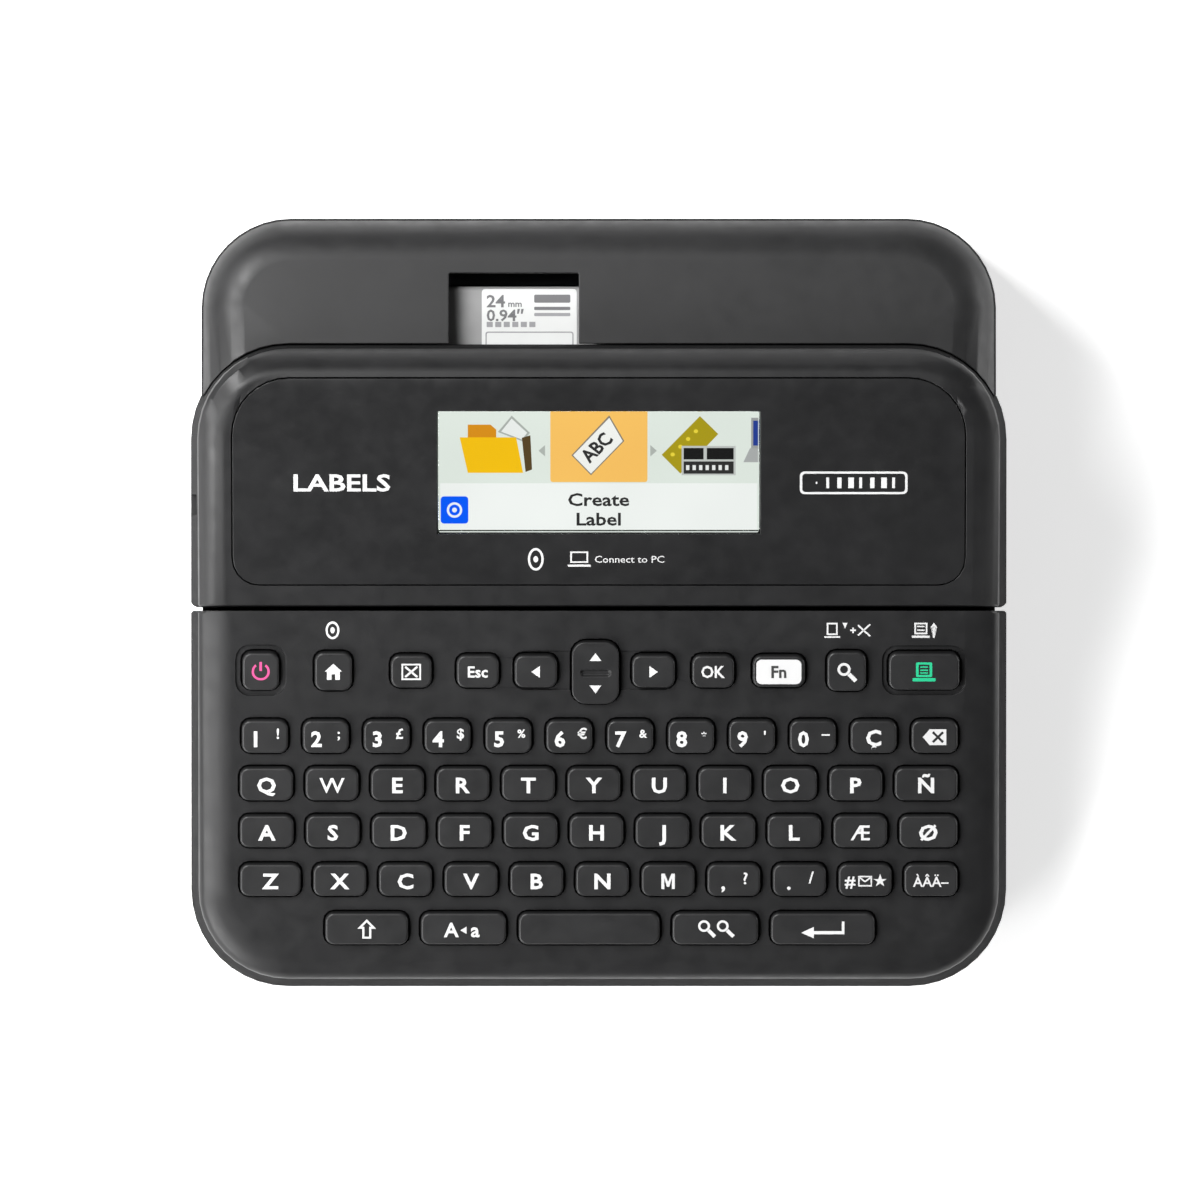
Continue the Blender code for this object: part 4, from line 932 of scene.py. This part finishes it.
class LABELMAKER_OT_screen(bpy.types.Operator):
    """Make the screen, its picture and its cover"""

    bl_idname = "labelmaker.screen"
    bl_label = "Screen"

    def execute(self, context):
        """Lay the picture under the clear cover, above the display module."""
        ground = lit("screen ground", (0.80, 0.86, 0.80), 0.98)
        items = []

        def lay(loops, colour, name, level):
            low = -1.72 + 0.02 * level
            item = shape("picture", on_screen(loops), low, low + 0.02)
            items.append(coat(item, lit(name, colour)))

        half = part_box("screen_cover")[1].x / MM - 0.1
        low_y = up_lid(SCREEN_FRONT) + 0.5
        high_y = up_lid(SCREEN_REAR) - 0.5
        items.append(coat(shape("picture", [box_loop(-half, low_y, half, high_y)], -1.76, -1.72), ground))
        lay([box_loop(-39.0, -14.6, 39.0, -3.2)], (0.92, 0.94, 0.92), "screen white", 0)
        lay([round_loop(-11.9, -2.9, 12.0, 15.2, 0.6, 3)], (1.0, 0.56, 0.13), "screen orange", 1)
        lay([[(-32.2, 8.0), (-25.2, 8.0), (-25.2, 10.0), (-26.6, 11.2), (-32.2, 11.2)]],
            (0.72, 0.28, 0.01), "folder tab", 1)
        lay([[(-21.4, 13.4), (-16.9, 9.2), (-18.7, 7.1), (-24.8, 9.4)]], (0.42, 0.45, 0.42), "paper edge", 1)
        lay([[(-21.4, 12.7), (-17.6, 9.2), (-18.9, 7.6), (-24.0, 9.5)]], (0.86, 0.88, 0.86), "paper", 2)
        lay([[(-18.9, 8.0), (-16.8, 8.6), (-16.4, 0.2), (-18.0, -0.4)]],
            (0.10, 0.06, 0.02), "folder shade", 2)
        lay([[(-34.2, 8.1), (-20.3, 8.1), (-18.6, -0.6), (-32.2, -0.6)]],
            (0.96, 0.55, 0.005), "folder front", 3)
        for tip, x in ((-0.8, -14.0), (0.8, 13.5)):
            lay([[(x + tip, 4.8), (x - tip, 6.2), (x - tip, 3.4)]], (0.45, 0.48, 0.45), "small arrows", 1)
        lay([[(-6.7, 3.7), (-1.9, -1.2), (6.3, 7.2), (2.6, 13.5)]], (0.25, 0.22, 0.18), "tag edge", 2)
        lay([[(-6.3, 3.7), (-1.9, -0.8), (5.9, 7.2), (2.6, 12.9)]], (0.93, 0.93, 0.90), "tag", 3)
        lay([[(24.9, 13.3), (29.4, 8.9), (20.1, -0.8), (15.5, 3.8)]], (0.42, 0.33, 0.01), "tape strip", 1)
        for n in range(4):
            cx, cy = 23.9 - 1.9 * n, 9.6 - 1.9 * n
            lay([disc_loop(cx, cy, 0.55, 0.5, 10)], (0.85, 0.68, 0.05), "tape dots", 2)
        lay([box_loop(20.4, -1.2, 33.7, 6.0)], (0.55, 0.57, 0.55), "label frame", 3)
        lay([box_loop(20.9, 2.7, 25.8, 5.5)], (0.01, 0.01, 0.01), "label black", 4)
        lay([box_loop(26.6, 2.7, 33.2, 5.5)], (0.01, 0.01, 0.01), "label black", 4)
        lay([box_loop(20.9, -0.8, 33.2, 2.2)], (0.03, 0.03, 0.03), "label dark", 4)
        for n in range(7):
            lay([box_loop(21.5 + 1.6 * n, 0.1, 22.3 + 1.6 * n, 1.3)], (0.85, 0.86, 0.85), "label white", 5)
        lay([box_loop(37.5, 5.4, 39.2, 12.9)], (0.35, 0.36, 0.36), "laptop frame", 2)
        lay([box_loop(38.0, 6.1, 39.2, 12.2)], (0.02, 0.05, 0.30), "laptop screen", 3)
        lay([[(35.6, 2.0), (37.2, 5.4), (39.2, 5.4), (39.2, 2.0)]], (0.42, 0.43, 0.43), "laptop base", 2)
        lay([round_loop(-38.9, -13.1, -32.1, -6.4, 0.8, 3)], (0.0, 0.105, 1.0), "sign blue", 1)
        lay([disc_loop(-35.5, -9.75, 1.9, 1.9, 20), disc_loop(-35.5, -9.75, 1.35, 1.35, 20)],
            (0.9, 0.93, 1.0), "sign white", 2)
        lay([disc_loop(-35.5, -9.75, 0.6, 0.6, 12)], (0.9, 0.93, 1.0), "sign white", 2)
        middle, steep = screen_scale()
        dark = lit("screen text", (0.03, 0.03, 0.03))
        for body, y in (("Create", -7.2), ("Label", -12.0)):
            item = words("picture", body, 3.0 * steep, 0.0, middle + y * steep, -1.70, -1.68, 0.03, 1.08)
            items.append(coat(item, dark))
        item = words("picture", "ABC", 3.5, -0.6, middle + 5.6 * steep, -1.64, -1.62, 0.04, 0.9,
                     math.radians(48.0))
        items.append(coat(item, dark))
        give(settle(join(items, "screen_picture"), lid_frame()), "lid", "display_glass")

        wide = 2 * half + 0.2
        cover = slab("cover", wide, high_y - low_y + 0.4, -1.4, -0.3, 0.5, 3, 0.0, (low_y + high_y) / 2)
        soften_top(cover, -0.3, 0.2, 2)
        smooth(coat(cover, clear_cover()), 50.0)
        give(settle(join([cover], "clear_window"), lid_frame()), "lid", "screen_clear", "screen_cover")
        return {"FINISHED"}


# ---- cassette

class LABELMAKER_OT_cassette(bpy.types.Operator):
    """Finish the tape cassette"""

    bl_idname = "labelmaker.cassette"
    bl_label = "Tape Cassette"

    def execute(self, context):
        """Soften the cassette and put its paper label on top."""
        grey = plastic("cassette plastic", (0.30, 0.30, 0.30), 0.4, 2600.0, 0.08)
        paper = plastic("label paper", (0.70, 0.71, 0.70), 0.6, 1500.0, 0.06, 0.03)
        faint = ink("faint ink", (0.30, 0.30, 0.31))
        dark = ink("grey ink", (0.16, 0.16, 0.165))
        body = shell("tape_cassette", "cassette_body", 0.3)
        give(coat(body, grey), "base", "cassette_plastic", "tape_cassette")
        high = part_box("tape_cassette")[1]
        top = high.z / MM
        base = top + 0.06
        rear = high.y / MM - 0.6
        items = [coat(shape("label", [round_loop(-28.8, rear - 40.0, -5.4, rear, 0.8, 3)], top, base), paper)]

        def print_on(loops, finish):
            items.append(coat(shape("label", loops, base, base + 0.02), finish))

        for body_text, cap, x, y, wide in (("24", 2.9, -27.6, 74.4, 1.1), ("mm", 1.5, -22.3, 73.75, 1.05),
                                           ("0.94″", 2.7, -27.6, 70.9, 1.1)):
            item = words("label", body_text, cap, x, y, base, base + 0.02, 0.03, wide, 0.0, False)
            items.append(coat(item, dark))
        print_on([round_loop(-15.9, 74.0, -7.0, 76.0, 0.3, 2)], dark)
        print_on([round_loop(-15.9, 72.2, -7.0, 73.0, 0.2, 2)], dark)
        print_on([round_loop(-15.9, 70.7, -7.0, 71.5, 0.2, 2)], faint)
        for n in range(6):
            x = -27.6 + 2.1 * n
            print_on([box_loop(x, 68.0, x + 1.5, 69.3)], faint)
        print_on([round_loop(-27.9, 40.0, -6.2, 66.9, 0.6, 3),
                  round_loop(-27.6, 40.3, -6.5, 66.6, 0.4, 3)], faint)
        give(settle(join(items, "cassette_label")), "base", "cassette_plastic")
        return {"FINISHED"}


# ---- finishes of the carried-over pieces

class LABELMAKER_OT_inner_finishes(bpy.types.Operator):
    """Coat the pieces inside and under the case"""

    bl_idname = "labelmaker.inner_finishes"
    bl_label = "Inner Finishes"

    def execute(self, context):
        """Give each carried-over piece its own finish."""
        chassis = plastic("chassis plastic", (0.10, 0.10, 0.104), 0.55, 1800.0)
        gear = plastic("gear plastic", (0.62, 0.60, 0.54), 0.4, 1500.0, 0.06)
        brass = plastic("brass", (0.62, 0.42, 0.14), 0.28, 900.0, 0.08, 0.08, 1.0)
        steel = plastic("ground steel", (0.42, 0.43, 0.44), 0.3, 1400.0, 0.12, 0.10, 1.0)
        head = plastic("head plate", (0.40, 0.36, 0.28), 0.35, 1100.0, 0.08, 0.15, 0.9)
        roller = plastic("roller rubber", (0.008, 0.008, 0.008), 0.75, 1200.0, 0.25)
        foot = plastic("foot rubber", (0.010, 0.010, 0.010), 0.8, 1500.0, 0.3)
        board = plastic("board green", (0.010, 0.085, 0.030), 0.4, 700.0, 0.15, 0.3)
        wrap = plastic("pack wrap", (0.015, 0.05, 0.16), 0.32, 500.0, 0.08)
        socket = plastic("socket plastic", (0.008, 0.008, 0.008), 0.5, 1800.0, 0.1)
        glass = plastic("display module", (0.20, 0.22, 0.21), 0.3, 900.0, 0.05)
        table = {
            "tape_chassis": chassis, "platen_gear": gear, "idler_gear": gear, "motor_pinion": brass,
            "feed_motor": steel, "fixed_blade": steel, "cutter_blade": steel, "print_head": head,
            "platen_roller": roller, "main_board": board, "battery_pack": wrap, "power_socket": socket,
            "data_socket": steel, "hinge_pin_left": steel, "hinge_pin_right": steel,
            "foot_front_left": foot, "foot_front_right": foot, "foot_rear_left": foot,
            "foot_rear_right": foot, "display_module": glass,
        }
        for node, finish in table.items():
            coat(frame["nodes"][node], finish)
        return {"FINISHED"}


# ---- studio

class LABELMAKER_OT_studio(bpy.types.Operator):
    """Set up the floor, the lamps and the camera"""

    bl_idname = "labelmaker.studio"
    bl_label = "Studio"

    def execute(self, context):
        """Make the pale floor, the soft lamps and a camera looking straight down."""
        s = context.scene.label_studio
        clear_choice()
        bpy.ops.mesh.primitive_plane_add(size=6.0, location=(0.0, 0.0, 0.0))
        floor = context.object
        floor.name = "studio_floor"
        pale = plastic("studio floor", (0.90, 0.90, 0.90), 0.9, 40.0, 0.02, 0.01, 0.0, 0.1)
        shader = pale.node_tree.nodes["Principled BSDF"]
        shader.inputs["Emission Color"].default_value = (1.0, 1.0, 1.0, 1.0)
        shader.inputs["Emission Strength"].default_value = 0.6
        coat(floor, pale)

        world = bpy.data.worlds.new("studio sky")
        context.scene.world = world
        world.use_nodes = True
        tree = world.node_tree
        way = tree.nodes.new("ShaderNodeTexCoord")
        split = tree.nodes.new("ShaderNodeSeparateXYZ")
        tree.links.new(way.outputs["Generated"], split.inputs["Vector"])
        fade = tree.nodes.new("ShaderNodeValToRGB")
        for stop, place, grey in zip(fade.color_ramp.elements, (0.02, 0.35), (0.14, 0.10)):
            stop.position = place
            stop.color = (grey, grey, grey, 1.0)
        tree.links.new(split.outputs["Z"], fade.inputs["Fac"])
        tree.links.new(fade.outputs["Color"], tree.nodes["Background"].inputs["Color"])
        tree.nodes["Background"].inputs["Strength"].default_value = s.sky

        for name, power, wide, tall, place in (
                ("main lamp", s.key_power, 0.30, 0.50, (-0.42, 0.36, 0.72)),
                ("left lamp", s.left_power, 0.25, 0.60, (-0.54, -0.25, 0.50)),
                ("front lamp", s.front_power, 0.40, 0.30, (-0.66, -0.82, 0.46)),
                ("right lamp", s.fill_power, 0.70, 0.16, (0.80, 0.10, 0.13))):
            data = bpy.data.lights.new(name, "AREA")
            data.shape = "RECTANGLE"
            data.energy = power
            data.size = wide
            data.size_y = tall
            lamp = bpy.data.objects.new(name, data)
            context.scene.collection.objects.link(lamp)
            lamp.location = place
            way = Vector((0.0, 0.0, 0.03)) - Vector(place)
            lamp.rotation_euler = way.to_track_quat("-Z", "Y").to_euler()
            lamp.visible_camera = False

        data = bpy.data.cameras.new("camera")
        data.sensor_width = 36.0
        data.lens = s.lens
        camera = bpy.data.objects.new("camera", data)
        context.scene.collection.objects.link(camera)
        aim = Vector(s.aim)
        camera.location = aim + Vector((0.0, 0.0, s.span * s.lens / 36.0))
        data.clip_start = 0.1
        data.clip_end = 40.0
        context.scene.camera = camera
        context.scene.view_settings.view_transform = "Standard"
        return {"FINISHED"}


# ---- panel and registration

STEPS = (LABELMAKER_OT_studio, LABELMAKER_OT_shells, LABELMAKER_OT_function_keys,
         LABELMAKER_OT_number_keys, LABELMAKER_OT_letter_keys, LABELMAKER_OT_bottom_keys,
         LABELMAKER_OT_rocker, LABELMAKER_OT_printed_marks, LABELMAKER_OT_screen,
         LABELMAKER_OT_cassette, LABELMAKER_OT_inner_finishes)


class LABELMAKER_PT_build(bpy.types.Panel):
    """Panel with the sizes, the colours and one button for each step"""

    bl_label = "Label Maker"
    bl_idname = "LABELMAKER_PT_build"
    bl_space_type = "VIEW_3D"
    bl_region_type = "UI"
    bl_category = "Label Maker"

    def draw(self, context):
        """List the settings and the steps."""
        column = self.layout.column()
        for group in ("label_slopes", "label_keys", "label_finish", "label_studio"):
            settings = getattr(context.scene, group)
            for name in settings.__annotations__:
                column.prop(settings, name)
        for step in STEPS:
            column.operator(step.bl_idname)


GROUPS = (("label_slopes", SlopeSettings), ("label_keys", KeySettings), ("label_finish", FinishSettings),
          ("label_studio", StudioSettings))


def register():
    """Register the settings, the steps and the panel."""
    for name, group in GROUPS:
        bpy.utils.register_class(group)
        setattr(bpy.types.Scene, name, PointerProperty(type=group))
    for step in STEPS:
        bpy.utils.register_class(step)
    bpy.utils.register_class(LABELMAKER_PT_build)


def unregister():
    """Take everything out again."""
    bpy.utils.unregister_class(LABELMAKER_PT_build)
    for step in reversed(STEPS):
        bpy.utils.unregister_class(step)
    for name, group in reversed(GROUPS):
        delattr(bpy.types.Scene, name)
        bpy.utils.unregister_class(group)


def main():
    """Run every step."""
    register()
    for step in STEPS:
        group, name = step.bl_idname.split(".")
        getattr(getattr(bpy.ops, group), name)()


if __name__ == "__main__":
    main()
